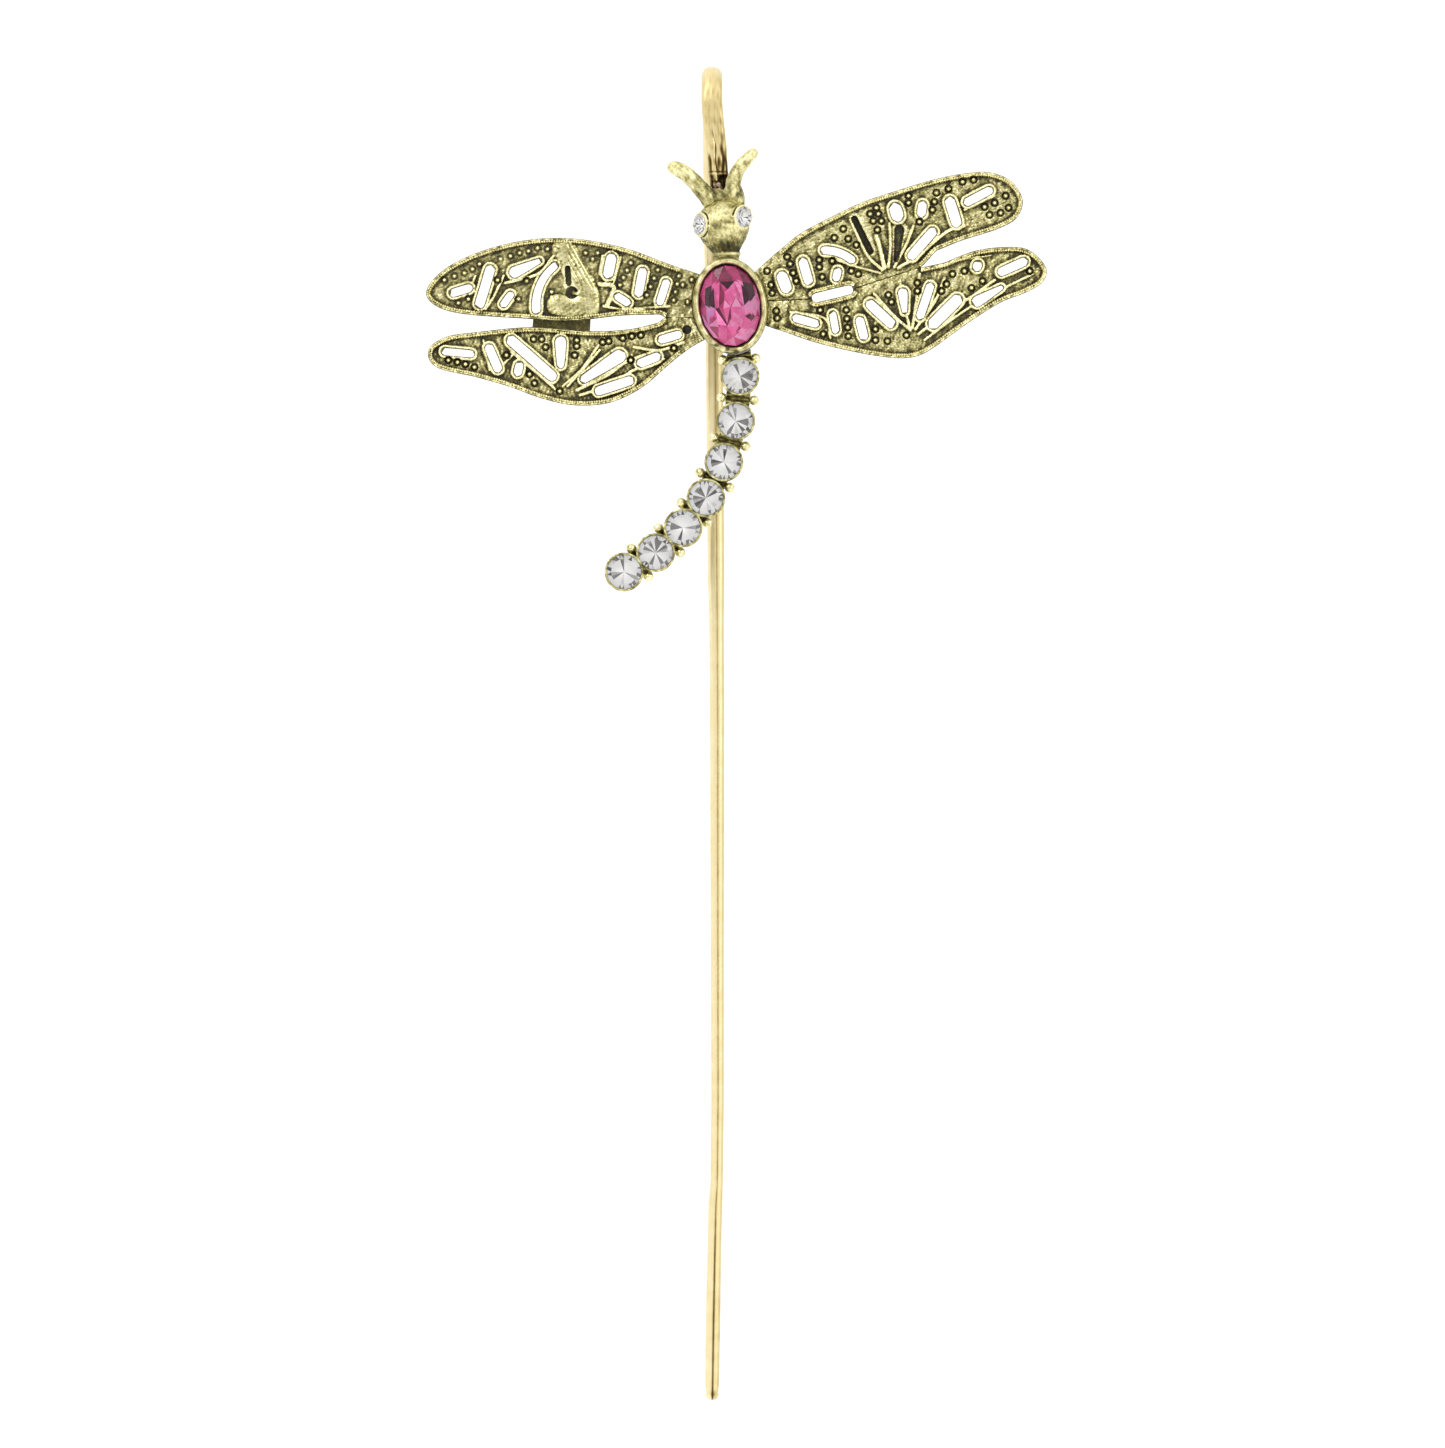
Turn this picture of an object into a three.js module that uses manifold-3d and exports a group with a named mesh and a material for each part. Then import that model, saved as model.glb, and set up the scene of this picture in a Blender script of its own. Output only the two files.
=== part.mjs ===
// Dragonfly hat pin: a slim bar bent over into a hook, with a jewelled dragonfly soldered to the
// hook's short arm. Millimetres. +Z runs up the stem, +X is to the right of someone who faces the
// dragonfly, and -Y is towards them. The origin is on the stem's flat back, below the tail.
import * as THREE from "three";
import { mergeVertices } from "three/addons/utils/BufferGeometryUtils.js";
import Module from "manifold-3d";

const wasm = await Module();
wasm.setup();

// Driving sizes

const clearance = 0.05; // gap between two pieces that are cemented or soldered together

const stemReach = 79.5; // from the origin down to the tip
const barThickness = 1.2;
const hookThroat = 4.9; // gap inside the hook
const armLength = 10.1; // straight short arm of the hook
const stemFullness = 1; // multiplies the widths in the bar's stations

const stoneX = 1.35; // centre of the middle stone, from the stem
const stoneZ = 30;
const backGap = 0.3; // from the hook's arm to the dragonfly's back

const bodyLean = THREE.MathUtils.degToRad(8.6); // the body leans to the left at the top

const stoneHalfWidth = 3;
const stoneHalfHeight = 4.1;
const stoneCrown = 0.9; // above the girdle
const stonePavilion = 1.8; // below the girdle
const stoneBed = 0.25; // cement under the middle stone
const girdle = 0.15; // edge thickness of every stone
const tableShare = 0.52; // a stone's flat top as a share of its width
const bezelWall = 0.7;
const bezelLip = 0.35; // rim above the middle stone's girdle
const bezelFloor = 0.4;

const headLength = 6.5;
const headHalfWidth = 2.62;
const headLean = THREE.MathUtils.degToRad(7);
const neckSink = 0.5; // how far the neck runs in under the bezel's outline
const neckShift = 0.42; // from the bezel's top to the neck, to the right
const armEndDrop = 0.4; // from the head's top down to the end of the hook's arm

const eyeRadius = 1;
const eyeWall = 0.22;

const tailCount = 7;
const tailRadius = 1.7; // each crystal in the tail
const tailWall = 0.22;
const tailFirstSpace = 1; // metal between the first two crystals
const tailSpaceLoss = 0.25; // each later space is this much narrower
const tailFirstHeading = THREE.MathUtils.degToRad(5.5); // from straight down, to the left
const tailTurn = THREE.MathUtils.degToRad(10.6); // from each crystal to the next
const tailLeastSpace = 0.19;
const tailFloor = 0.35;
const beadRadius = 0.5;
const beadOffset = 1.65; // from the tail's middle line
const beadBarWidth = 0.62;
const beadBarHeight = 0.9;
const tailLinkWidth = 2.1;
const tailLinkHeight = 1;
const rimProud = 0.05; // a small cup's rim over its crystal's girdle

const wingSpan = 62; // tip to tip
const drawnSpan = 62; // the span at which the wing outlines below are drawn
const wingThickness = 1.2;
const strutThickness = 0.45;

// Facets round each kind of round piece

const bezelSides = 40;
const stoneSides = 28;
const headSides = 26;
const eyeSides = 20;
const cupSides = 18;
const crystalSides = 16;
const lumpSides = 14;
const beadSides = 8;

// Materials

function metal(color, roughness) {
  return new THREE.MeshStandardMaterial({ color, roughness, metalness: 1 });
}

function glass(color) {
  return new THREE.MeshStandardMaterial({ color, roughness: 0.04, metalness: 0 });
}

const polishedBrass = metal(0xe3c98a, 0.28);
const antiqueBrass = metal(0xb8a566, 0.42);
const solder = metal(0x5a4638, 0.6);
const clearCrystal = glass(0xe6e6ea);
const pinkCrystal = glass(0xd23a78);
const cement = new THREE.MeshStandardMaterial({ color: 0x8d8f92, roughness: 0.7, metalness: 0.1 });

// Solids

// A closed three.js geometry as a manifold-3d solid.
function solidOf(geometry) {
  geometry.deleteAttribute("normal");
  geometry.deleteAttribute("uv");
  const merged = mergeVertices(geometry, 1e-5);
  const corners = {
    numProp: 3,
    vertProperties: new Float32Array(merged.attributes.position.array),
    triVerts: new Uint32Array(merged.index.array),
  };
  return new wasm.Manifold(new wasm.Mesh(corners));
}

function geometryOf(solid) {
  const made = solid.getMesh();
  const geometry = new THREE.BufferGeometry();
  geometry.setAttribute("position", new THREE.BufferAttribute(new Float32Array(made.vertProperties), 3));
  geometry.setIndex(new THREE.BufferAttribute(new Uint32Array(made.triVerts), 1));
  geometry.computeVertexNormals();
  return geometry;
}

function unite(solids) {
  return solids.reduce((whole, next) => whole.add(next));
}

function piece(name, solid, material) {
  const mesh = new THREE.Mesh(geometryOf(solid), material);
  mesh.name = name;
  return mesh;
}

// A closed skin over a row of convex rings that all have the same number of points.
function loft(rings) {
  const count = rings[0].length;
  const positions = rings.flat().flatMap((point) => point.toArray());
  const index = [];
  for (let k = 0; k + 1 < rings.length; k += 1) {
    for (let i = 0; i < count; i += 1) {
      const a = k * count + i;
      const b = k * count + ((i + 1) % count);
      index.push(a, b, b + count, a, b + count, a + count);
    }
  }
  const last = (rings.length - 1) * count;
  for (let i = 1; i + 1 < count; i += 1) {
    index.push(0, i + 1, i, last, last + i, last + i + 1);
  }
  const geometry = new THREE.BufferGeometry();
  geometry.setAttribute("position", new THREE.Float32BufferAttribute(positions, 3));
  geometry.setIndex(index);
  return solidOf(geometry);
}

// A round solid that stands on the drawing plane, turned from [radius, height] points.
function turned(profile, sides) {
  const points = profile.map(([radius, height]) => new THREE.Vector2(radius, height));
  const geometry = new THREE.LatheGeometry(points, sides);
  geometry.rotateX(Math.PI / 2);
  return solidOf(geometry);
}

function block(width, height, depth) {
  return solidOf(new THREE.BoxGeometry(width, height, depth));
}

function ball(radius, sides) {
  return solidOf(new THREE.SphereGeometry(radius, sides, Math.max(4, sides / 2)));
}

// A plate from a flat outline, standing on the drawing plane.
function plate(shape, thickness, curveSegments) {
  const options = { depth: thickness, bevelEnabled: false, curveSegments };
  return solidOf(new THREE.ExtrudeGeometry(shape, options));
}

function vectors(points, scale = 1) {
  return points.map(([x, y]) => new THREE.Vector2(x * scale, y * scale));
}

// The hook bar, in the row's frame

const outerRadius = hookThroat / 2 + barThickness;
const dragonflyBack = -2 * outerRadius - backGap; // Y of the dragonfly's back plane
const bezelHalfWidth = stoneHalfWidth + bezelWall;
const bezelHalfHeight = stoneHalfHeight + bezelWall;
const leanUp = new THREE.Vector2(-Math.sin(bodyLean), Math.cos(bodyLean));
const headUp = new THREE.Vector2(-Math.sin(headLean), Math.cos(headLean));
const neckEnd = leanUp.clone().multiplyScalar(bezelHalfHeight - neckSink);
neckEnd.x += neckShift;
const headTop = neckEnd.clone().addScaledVector(headUp, headLength);
const armEndZ = stoneZ + headTop.y - armEndDrop;
const bendZ = armEndZ + armLength;

// One section of the bar: flat on its outer side, rounded on its inner side. `out` is the middle of
// the flat side and `through` points from it across the bar's thickness.
function barRing(out, through, width, thickness) {
  const half = [
    [0.36, 0],
    [0.5, 0.25],
    [0.5, 0.6],
    [0.34, 0.9],
  ];
  const mirrored = half.map(([across, depth]) => [-across, depth]).reverse();
  const outline = [...half, [0, 1], ...mirrored];
  const ring = outline.map(([across, depth]) => {
    const point = out.clone().addScaledVector(through, depth * thickness);
    point.x += across * width;
    return point;
  });
  return ring.reverse();
}

// Share of the stem's length from the tip, sideways sway, width and share of the full thickness.
const stemStations = [
  [0, -0.46, 0.6, 0.5],
  [0.004, -0.46, 1.1, 0.8],
  [0.011, -0.45, 1.4, 0.97],
  [0.06, -0.36, 1.46, 1],
  [0.115, -0.22, 1.36, 1],
  [0.15, -0.12, 1.38, 1],
  [0.168, 0.02, 1.24, 1],
  [0.23, 0.1, 1.26, 1],
  [0.34, 0.08, 1.3, 1],
  [0.53, 0.05, 1.42, 1],
  [0.6, 0, 1.46, 1],
  [0.64, -0.06, 1.66, 1],
  [0.8, -0.2, 1.72, 1],
  [0.94, -0.44, 1.78, 1],
  [1, -0.46, 1.88, 1],
];
const bendSteps = 14;
const crownWidth = 2.08;
const armStations = [
  [0.12, -0.38, 2.1],
  [0.45, -0.02, 2.08],
  [0.82, 0.28, 1.88],
  [1, 0.32, 1.55],
];

function hookBar() {
  const rings = [];
  const inFromBack = new THREE.Vector3(0, -1, 0);
  for (const [share, sway, width, depth] of stemStations) {
    const z = THREE.MathUtils.lerp(-stemReach, bendZ, share);
    const out = new THREE.Vector3(sway, 0, z);
    rings.push(barRing(out, inFromBack, width * stemFullness, barThickness * depth));
  }
  const [, bendSway, bendWidth] = stemStations.at(-1);
  for (let step = 1; step <= bendSteps; step += 1) {
    const angle = (Math.PI * step) / bendSteps;
    const through = new THREE.Vector3(0, -Math.cos(angle), -Math.sin(angle));
    const out = new THREE.Vector3(bendSway, -outerRadius, bendZ).addScaledVector(through, -outerRadius);
    const widening = Math.min(1, (2 * step) / bendSteps);
    const width = THREE.MathUtils.lerp(bendWidth, crownWidth, widening);
    rings.push(barRing(out, through, width * stemFullness, barThickness));
  }
  return loft([...rings, ...armRings(0)]);
}

// The rings of the short arm, grown all round by `grow`.
function armRings(grow) {
  const inFromFront = new THREE.Vector3(0, 1, 0);
  return armStations.map(([share, sway, width]) => {
    const z = THREE.MathUtils.lerp(bendZ, armEndZ, share) - (share === 1 ? grow : 0);
    const out = new THREE.Vector3(sway, -2 * outerRadius - grow, z);
    return barRing(out, inFromFront, width * stemFullness + 2 * grow, barThickness + 2 * grow);
  });
}

// The lump of solder that holds the arm's end against the back of the head.
const solderHalf = new THREE.Vector3(1.4, 0.85, 2);
const solderMiddle = new THREE.Vector3(0.3, 0.62, 0.5); // from the stem, the lump's front and the arm's end
const slab = 60; // side of a block that is larger than any piece it cuts

function solderJoint() {
  const lump = ball(1, lumpSides).scale([solderHalf.x, solderHalf.y, solderHalf.z]);
  const front = dragonflyBack + clearance;
  const placed = lump.translate([solderMiddle.x, front + solderMiddle.y, armEndZ + solderMiddle.z]);
  const inFront = block(slab, slab, slab).translate([0, front - slab / 2, armEndZ]);
  return placed.subtract(inFront).subtract(loft(armRings(clearance)));
}

// The dragonfly is drawn in its own frame: x to the right, y up and z towards the viewer, with z = 0
// on its flat back and the origin behind the middle stone.

function bezelOutline(grow, low, high) {
  const disc = turned([[0, low], [1, low], [1, high], [0, high]], bezelSides);
  const sized = disc.scale([bezelHalfWidth + grow, bezelHalfHeight + grow, 1]);
  return sized.rotate([0, 0, THREE.MathUtils.radToDeg(bodyLean)]);
}

const girdleZ = bezelFloor + clearance + stoneBed + stonePavilion;

function centreBezel() {
  const rim = girdleZ + girdle + bezelLip;
  const pocket = turned([[0, bezelFloor], [1, bezelFloor], [1, rim + 1], [0, rim + 1]], bezelSides);
  const sized = pocket.scale([stoneHalfWidth + clearance, stoneHalfHeight + clearance, 1]);
  return bezelOutline(0, 0, rim).subtract(sized.rotate([0, 0, THREE.MathUtils.radToDeg(bodyLean)]));
}

// A faceted stone with its girdle's lower edge at z = 0.
function cutStone(radius, crown, pavilion, sides) {
  const table = tableShare * radius;
  const profile = [
    [0, -pavilion],
    [radius, 0],
    [radius, girdle],
    [table, girdle + crown],
    [0, girdle + crown],
  ];
  return turned(profile, sides);
}

const cementShare = 0.94; // a cement bed's width as a share of its stone's
const cementRise = 0.55; // how far it reaches up the pavilion, as a share of the pavilion's height

// The cement under a stone: a disc with a conical seat for the pavilion. z = 0 is its flat bottom,
// and the pavilion's point is `below` above that.
function cementBed(radius, pavilion, below, sides) {
  const outer = cementShare * radius;
  const seat = below - clearance;
  const top = seat + cementRise * pavilion;
  const innerRadius = cementRise * radius;
  const profile = [
    [0, 0],
    [outer, 0],
    [outer, top],
    [innerRadius, top],
    [0, seat],
  ];
  return turned(profile, sides);
}

function ovalOf(solid) {
  const sized = solid.scale([stoneHalfWidth, stoneHalfHeight, 1]);
  return sized.rotate([0, 0, THREE.MathUtils.radToDeg(bodyLean)]);
}

function centreStone() {
  return ovalOf(cutStone(1, stoneCrown, stonePavilion, stoneSides)).translate([0, 0, girdleZ]);
}

function centreCement() {
  const bottom = bezelFloor + clearance;
  return ovalOf(cementBed(1, stonePavilion, stoneBed, stoneSides)).translate([0, 0, bottom]);
}

// Head and antennae

// Share of the head's length from the neck, and share of its half width.
const headProfile = [
  [0, 0.46],
  [0.1, 0.48],
  [0.15, 0.45],
  [0.23, 0.6],
  [0.34, 0.79],
  [0.46, 0.94],
  [0.58, 1],
  [0.72, 0.95],
  [0.84, 0.78],
  [0.93, 0.54],
  [0.98, 0.28],
];

function headDome(grow) {
  const points = [new THREE.Vector2(0, -grow)];
  for (const [along, across] of headProfile) {
    points.push(new THREE.Vector2(across * headHalfWidth + grow, along * headLength));
  }
  points.push(new THREE.Vector2(0, headLength + grow));
  const egg = solidOf(new THREE.LatheGeometry(points, headSides));
  const turnedEgg = egg.rotate([0, 0, THREE.MathUtils.radToDeg(headLean)]);
  return turnedEgg.translate([neckEnd.x, neckEnd.y, 0]);
}

// Each eye: how far it sits along the head and out from the head's middle line, how far forward
// its girdle's middle is, and how far its crystal is turned away from the viewer.
const eyes = [
  { side: "left", along: 0.645, out: -2.26, forward: 1.15, turn: -0.93 },
  { side: "right", along: 0.675, out: 2.1, forward: 1.45, turn: 0.72 },
];
const eyeCrown = 0.3;
const eyePavilion = 0.75;
const eyeBed = 0.2; // cement under the eye's pavilion
const eyeFloor = 0.25; // metal under that cement
const eyeFlare = 0.3; // how far a cup's side draws in towards its foot
const eyeSide = 0.45; // straight depth of that side

function placeEye(solid, eye) {
  const across = new THREE.Vector2(headUp.y, -headUp.x);
  const middle = neckEnd.clone().addScaledVector(headUp, eye.along * headLength);
  middle.addScaledVector(across, eye.out);
  const turnedEye = solid.rotate([0, THREE.MathUtils.radToDeg(eye.turn), 0]);
  return turnedEye.translate([middle.x, middle.y, eye.forward]);
}

function eyeCup(eye, grow) {
  const radius = eyeRadius + eyeWall + grow;
  const low = -eyePavilion - eyeBed - eyeFloor - grow;
  const high = girdle + rimProud + grow;
  const waist = radius - eyeFlare;
  const profile = [[0, low], [waist, low], [radius, -eyeSide], [radius, high], [0, high]];
  return placeEye(turned(profile, eyeSides), eye);
}

function eyePocket(eye) {
  const radius = eyeRadius + clearance;
  const low = -eyePavilion - eyeBed;
  const profile = [[0, low], [radius, low], [radius, eyeRadius], [0, eyeRadius]];
  return placeEye(turned(profile, eyeSides), eye);
}

function headSolid(grow) {
  return unite([headDome(grow), ...eyes.map((eye) => eyeCup(eye, grow))]);
}

const behindBack = block(slab, slab, slab).translate([0, 0, -slab / 2]);

function head() {
  const cutBack = headSolid(0).subtract(behindBack);
  const pierced = eyes.reduce((solid, eye) => solid.subtract(eyePocket(eye)), cutBack);
  return pierced.subtract(bezelOutline(clearance, -1, slab));
}

function eyeCrystal(eye) {
  return placeEye(cutStone(eyeRadius, eyeCrown, eyePavilion, crystalSides), eye);
}

function eyeCement(eye) {
  const bottom = -eyePavilion - eyeBed + clearance;
  const bed = cementBed(eyeRadius, eyePavilion, eyeBed - clearance, crystalSides);
  return placeEye(bed.translate([0, 0, bottom]), eye);
}

// A round horn along points of [x, y, z, radius], measured from the top of the head.
function horn(stations) {
  const path = new THREE.CatmullRomCurve3(stations.map(([x, y, z]) => new THREE.Vector3(x, y, z)));
  const steps = 16;
  const sides = 10;
  const rings = [];
  for (let step = 0; step <= steps; step += 1) {
    const share = step / steps;
    const centre = path.getPoint(share);
    const along = path.getTangent(share);
    const slot = Math.min(share * (stations.length - 1), stations.length - 1.001);
    const first = Math.floor(slot);
    const radius = THREE.MathUtils.lerp(stations[first][3], stations[first + 1][3], slot - first);
    const across = new THREE.Vector3(-along.y, along.x, 0).normalize();
    const up = new THREE.Vector3().crossVectors(along, across).normalize();
    const ring = [];
    for (let i = 0; i < sides; i += 1) {
      const angle = (2 * Math.PI * i) / sides;
      const point = centre.clone().addScaledVector(across, radius * Math.cos(angle));
      ring.push(point.addScaledVector(up, radius * Math.sin(angle)));
    }
    rings.push(ring);
  }
  return loft(rings);
}

const leftHorn = [
  [-5.17, 3.29, 0.8, 0.34],
  [-4.87, 3.22, 0.8, 0.62],
  [-4.23, 2.99, 0.8, 0.74],
  [-3.72, 2.7, 0.8, 0.75],
  [-3.06, 2.16, 0.8, 0.76],
  [-2.4, 1.53, 0.8, 0.78],
  [-1.81, 0.87, 0.8, 0.82],
  [-1.3, 0.28, 0.72, 0.86],
  [-0.8, -0.9, 0.25, 0.6],
];
const rightHorn = [
  [3.66, 4.84, 0.85, 0.28],
  [3.4, 4.61, 0.85, 0.5],
  [2.96, 4.17, 0.85, 0.58],
  [2.38, 3.58, 0.82, 0.62],
  [1.86, 2.92, 0.8, 0.66],
  [1.57, 2.26, 0.8, 0.7],
  [1.35, 1.6, 0.8, 0.75],
  [1.28, 0.87, 0.76, 0.8],
  [1.2, -0.9, 0.25, 0.6],
];
// Middle, half sizes and turn of the two lobes between the horns and the head.
const hornLobes = [
  { middle: [1.52, 0.15, 0.1], half: [0.98, 1.6, 1.2], turn: 10 },
  { middle: [-0.15, 0.3, 0.1], half: [1.15, 0.8, 1], turn: 8 },
];

function antennae() {
  const lobes = hornLobes.map(({ middle, half, turn }) =>
    ball(1, lumpSides).scale(half).rotate([0, 0, turn]).translate(middle),
  );
  const whole = unite([horn(leftHorn), horn(rightHorn), ...lobes]);
  const placed = whole.translate([headTop.x, headTop.y, 0]);
  return placed.subtract(headSolid(clearance)).subtract(behindBack);
}

// Tail

const tailCup = tailRadius + clearance + tailWall;
const tailCrown = 0.5;
const tailPavilion = 1.15;
const tailBed = 0.2; // cement under each pavilion
const tailGirdleZ = tailFloor + tailBed + tailPavilion;
const tailRim = tailGirdleZ + girdle + rimProud;
const tailCupFlare = 0.25; // how far a cup's side draws in towards its foot
const tailCupFoot = 0.6; // height of that slanting part
const tailShift = 0.28; // from the bezel's lowest point to the first crystal, to the right
const tailGap = 0.3; // from the bezel to the first cup
const tailStart = new THREE.Vector2(-0.15, 3.2); // from the first crystal to the tail's root
const firstBarShare = 0.46; // where the first bead bar is, between the root and the first crystal

// The middles of the crystals: each step turns further to the left, and the spaces get narrower.
function tailMiddles() {
  const bottom = leanUp.clone().multiplyScalar(-bezelHalfHeight);
  const middles = [new THREE.Vector2(bottom.x + tailShift, bottom.y - tailCup - tailGap)];
  for (let i = 0; i + 1 < tailCount; i += 1) {
    const heading = tailFirstHeading + i * tailTurn;
    const space = Math.max(tailLeastSpace, tailFirstSpace - i * tailSpaceLoss);
    const pitch = 2 * (tailRadius + clearance) + space;
    const step = new THREE.Vector2(-Math.sin(heading), -Math.cos(heading)).multiplyScalar(pitch);
    middles.push(middles[i].clone().add(step));
  }
  return middles;
}

const crystalMiddles = tailMiddles();

// A bar across the tail with a bead on each end, centred at `middle` and square to `heading`.
function beadBar(middle, heading) {
  const bar = block(2 * beadOffset, beadBarWidth, beadBarHeight).translate([0, 0, beadBarHeight / 2]);
  const bead = ball(beadRadius, beadSides).translate([0, 0, beadBarHeight]);
  const beads = [-1, 1].map((side) => bead.translate([side * beadOffset, 0, 0]));
  const turnedBar = unite([bar, ...beads]).rotate([0, 0, THREE.MathUtils.radToDeg(heading)]);
  return turnedBar.translate([middle.x, middle.y, 0]);
}

// The strip of metal under two neighbouring cups.
function tailLink(from, to) {
  const step = to.clone().sub(from);
  const link = block(tailLinkWidth, step.length(), tailLinkHeight).translate([0, 0, tailLinkHeight / 2]);
  const heading = Math.atan2(step.y, step.x) + Math.PI / 2;
  const middle = from.clone().add(to).multiplyScalar(0.5);
  return link.rotate([0, 0, THREE.MathUtils.radToDeg(heading)]).translate([middle.x, middle.y, 0]);
}

function tailSetting() {
  const foot = tailCup - tailCupFlare;
  const cupProfile = [[0, 0], [foot, 0], [tailCup, tailCupFoot], [tailCup, tailRim], [0, tailRim]];
  const hole = tailRadius + clearance;
  const holeTop = 2 * tailRim;
  const pocketProfile = [[0, tailFloor], [hole, tailFloor], [hole, holeTop], [0, holeTop]];
  const line = [crystalMiddles[0].clone().add(tailStart), ...crystalMiddles];
  const parts = [];
  for (let i = 0; i + 1 < line.length; i += 1) {
    const step = line[i + 1].clone().sub(line[i]);
    const heading = Math.atan2(step.y, step.x) + Math.PI / 2;
    const share = i === 0 ? firstBarShare : 0.5;
    parts.push(tailLink(line[i], line[i + 1]));
    parts.push(beadBar(line[i].clone().lerp(line[i + 1], share), heading));
  }
  for (const middle of crystalMiddles) {
    parts.push(turned(cupProfile, cupSides).translate([middle.x, middle.y, 0]));
  }
  const whole = unite(parts).subtract(behindBack).subtract(bezelOutline(clearance, -1, slab));
  const pocket = turned(pocketProfile, cupSides);
  return crystalMiddles.reduce(
    (solid, middle) => solid.subtract(pocket.translate([middle.x, middle.y, 0])),
    whole,
  );
}

function tailCrystal(middle) {
  const stone = cutStone(tailRadius, tailCrown, tailPavilion, crystalSides);
  return stone.translate([middle.x, middle.y, tailGirdleZ]);
}

function tailCement(middle) {
  const bed = cementBed(tailRadius, tailPavilion, tailBed - clearance, crystalSides);
  return bed.translate([middle.x, middle.y, tailFloor + clearance]);
}

// Wings

// Each opening: its two ends, its width at each end and how far its middle bows to the left of the
// way from the first end to the second.
function opening([x1, y1, x2, y2, firstWidth, lastWidth = firstWidth, bow = 0], scale) {
  const first = new THREE.Vector2(x1, y1);
  const last = new THREE.Vector2(x2, y2);
  const along = last.clone().sub(first).normalize();
  const left = new THREE.Vector2(-along.y, along.x);
  first.addScaledVector(along, firstWidth / 2);
  last.addScaledVector(along, -lastWidth / 2);
  const middle = first.clone().add(last).multiplyScalar(0.5).addScaledVector(left, 2 * bow);
  const spine = new THREE.QuadraticBezierCurve(first, middle, last);
  const steps = bow === 0 ? 1 : 5;
  const arcSteps = 5;
  const points = [];
  const side = (sign) => {
    for (let step = 0; step <= steps; step += 1) {
      const share = sign > 0 ? 1 - step / steps : step / steps;
      const half = THREE.MathUtils.lerp(firstWidth, lastWidth, share) / 2;
      const tangent = spine.getTangent(share);
      const normal = new THREE.Vector2(-tangent.y, tangent.x);
      points.push(spine.getPoint(share).addScaledVector(normal, sign * half));
    }
  };
  const end = (centre, half, tangent) => {
    const start = Math.atan2(tangent.y, tangent.x) - Math.PI / 2;
    for (let step = 1; step < arcSteps; step += 1) {
      const angle = start + (Math.PI * step) / arcSteps;
      const spoke = new THREE.Vector2(Math.cos(angle), Math.sin(angle));
      points.push(centre.clone().addScaledVector(spoke, half));
    }
  };
  side(-1);
  end(last, lastWidth / 2, spine.getTangent(1));
  side(1);
  end(first, firstWidth / 2, spine.getTangent(0).negate());
  const shape = new THREE.Shape(points.map((point) => point.multiplyScalar(scale)));
  return plate(shape, 3 * wingThickness, 1).translate([0, 0, -wingThickness]);
}

// A wing is a plate with a smooth border, a straight-sided seam along its neighbour and openings.
// Its root runs in under the bezel's outline and is cut there.
function wing({ border, seam, seamShift, openings }) {
  const scale = wingSpan / drawnSpan;
  const edge = vectors(border, scale);
  const shape = new THREE.Shape();
  shape.moveTo(edge[0].x, edge[0].y);
  shape.splineThru(edge.slice(1));
  for (const point of vectors(seam, scale)) {
    shape.lineTo(point.x, point.y + seamShift);
  }
  shape.closePath();
  const pierced = openings.reduce(
    (solid, slot) => solid.subtract(opening(slot, scale)),
    plate(shape, wingThickness, 3),
  );
  return pierced.subtract(bezelOutline(clearance, -1, slab));
}

const leftSeam = [[-6.4, -1.15], [-2.3, -1.15]];
const rightSeam = [[19, 3.85], [17.5, 3.4], [15, 2.6], [12.3, 1.72], [8.15, 0.72], [6.1, 0.62], [2.3, 0.45]];
const rightSlot = [8.15, 0.72, 12.3, 1.72, 0.9];

const upperLeftWing = {
  border: [
    [-2.3, 2.9], [-6.1, 4.2], [-10, 5.65], [-14, 6.55], [-17.6, 6.8], [-21.4, 6.4], [-25.3, 5.3],
    [-28.6, 3.6], [-30.3, 1.5], [-29.4, 0.05], [-26.5, -0.8], [-20.3, -1.25], [-16, -1.5],
    [-10.9, -0.95], [-7, -0.85],
  ],
  seam: leftSeam,
  seamShift: clearance / 2,
  openings: [
    [-28, 1.2, -25.7, 1.9, 0.8],
    [-23.8, 4.1, -25.1, -0.2, 0.95],
    [-22, 3.15, -18.8, 4.6, 1.1, 0.5],
    [-21.7, 1.4, -22.8, -0.1, 0.7],
    [-17.35, 4.35, -19.5, -0.75, 0.7, 0.85, -0.6],
    [-11.75, 5.25, -12.25, 2.75, 1],
    [-8.65, 3.85, -9.2, 0.9, 0.85],
    [-6.25, 2.7, -7.1, 0.1, 0.75],
    [-11.5, 1.15, -9.95, 0.15, 0.75],
  ],
};

const lowerLeftWing = {
  border: [
    [-7.2, -1.65], [-10, -2.3], [-14, -2.5], [-19.7, -2.1], [-25.3, -2.6], [-28.4, -3.1],
    [-30.1, -4.4], [-29.3, -6.1], [-25.3, -7.1], [-22, -8.05], [-19, -9.15], [-16, -9.85],
    [-13.2, -9.85], [-11, -9.3], [-8.6, -8], [-6.4, -6.1], [-4.2, -4.3], [-2.3, -3.2],
  ],
  seam: leftSeam.toReversed(),
  seamShift: -clearance / 2,
  openings: [
    [-28.8, -4.5, -25.5, -4.8, 0.7],
    [-24.2, -3.8, -23, -6.6, 0.85],
    [-20.95, -5.55, -21.25, -7, 0.8],
    [-22.2, -3.1, -17.4, -7.3, 1],
    [-16.9, -3, -16.9, -6.2, 1.1, 0.7],
    [-14.9, -7.5, -10.5, -4.65, 0.8, 1.3],
    [-13.5, -8.6, -9.6, -7.3, 0.9],
    [-9.3, -5.85, -6.9, -4.9, 0.85],
    [-7.2, -3.45, -4.8, -2.75, 0.8],
  ],
};

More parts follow.
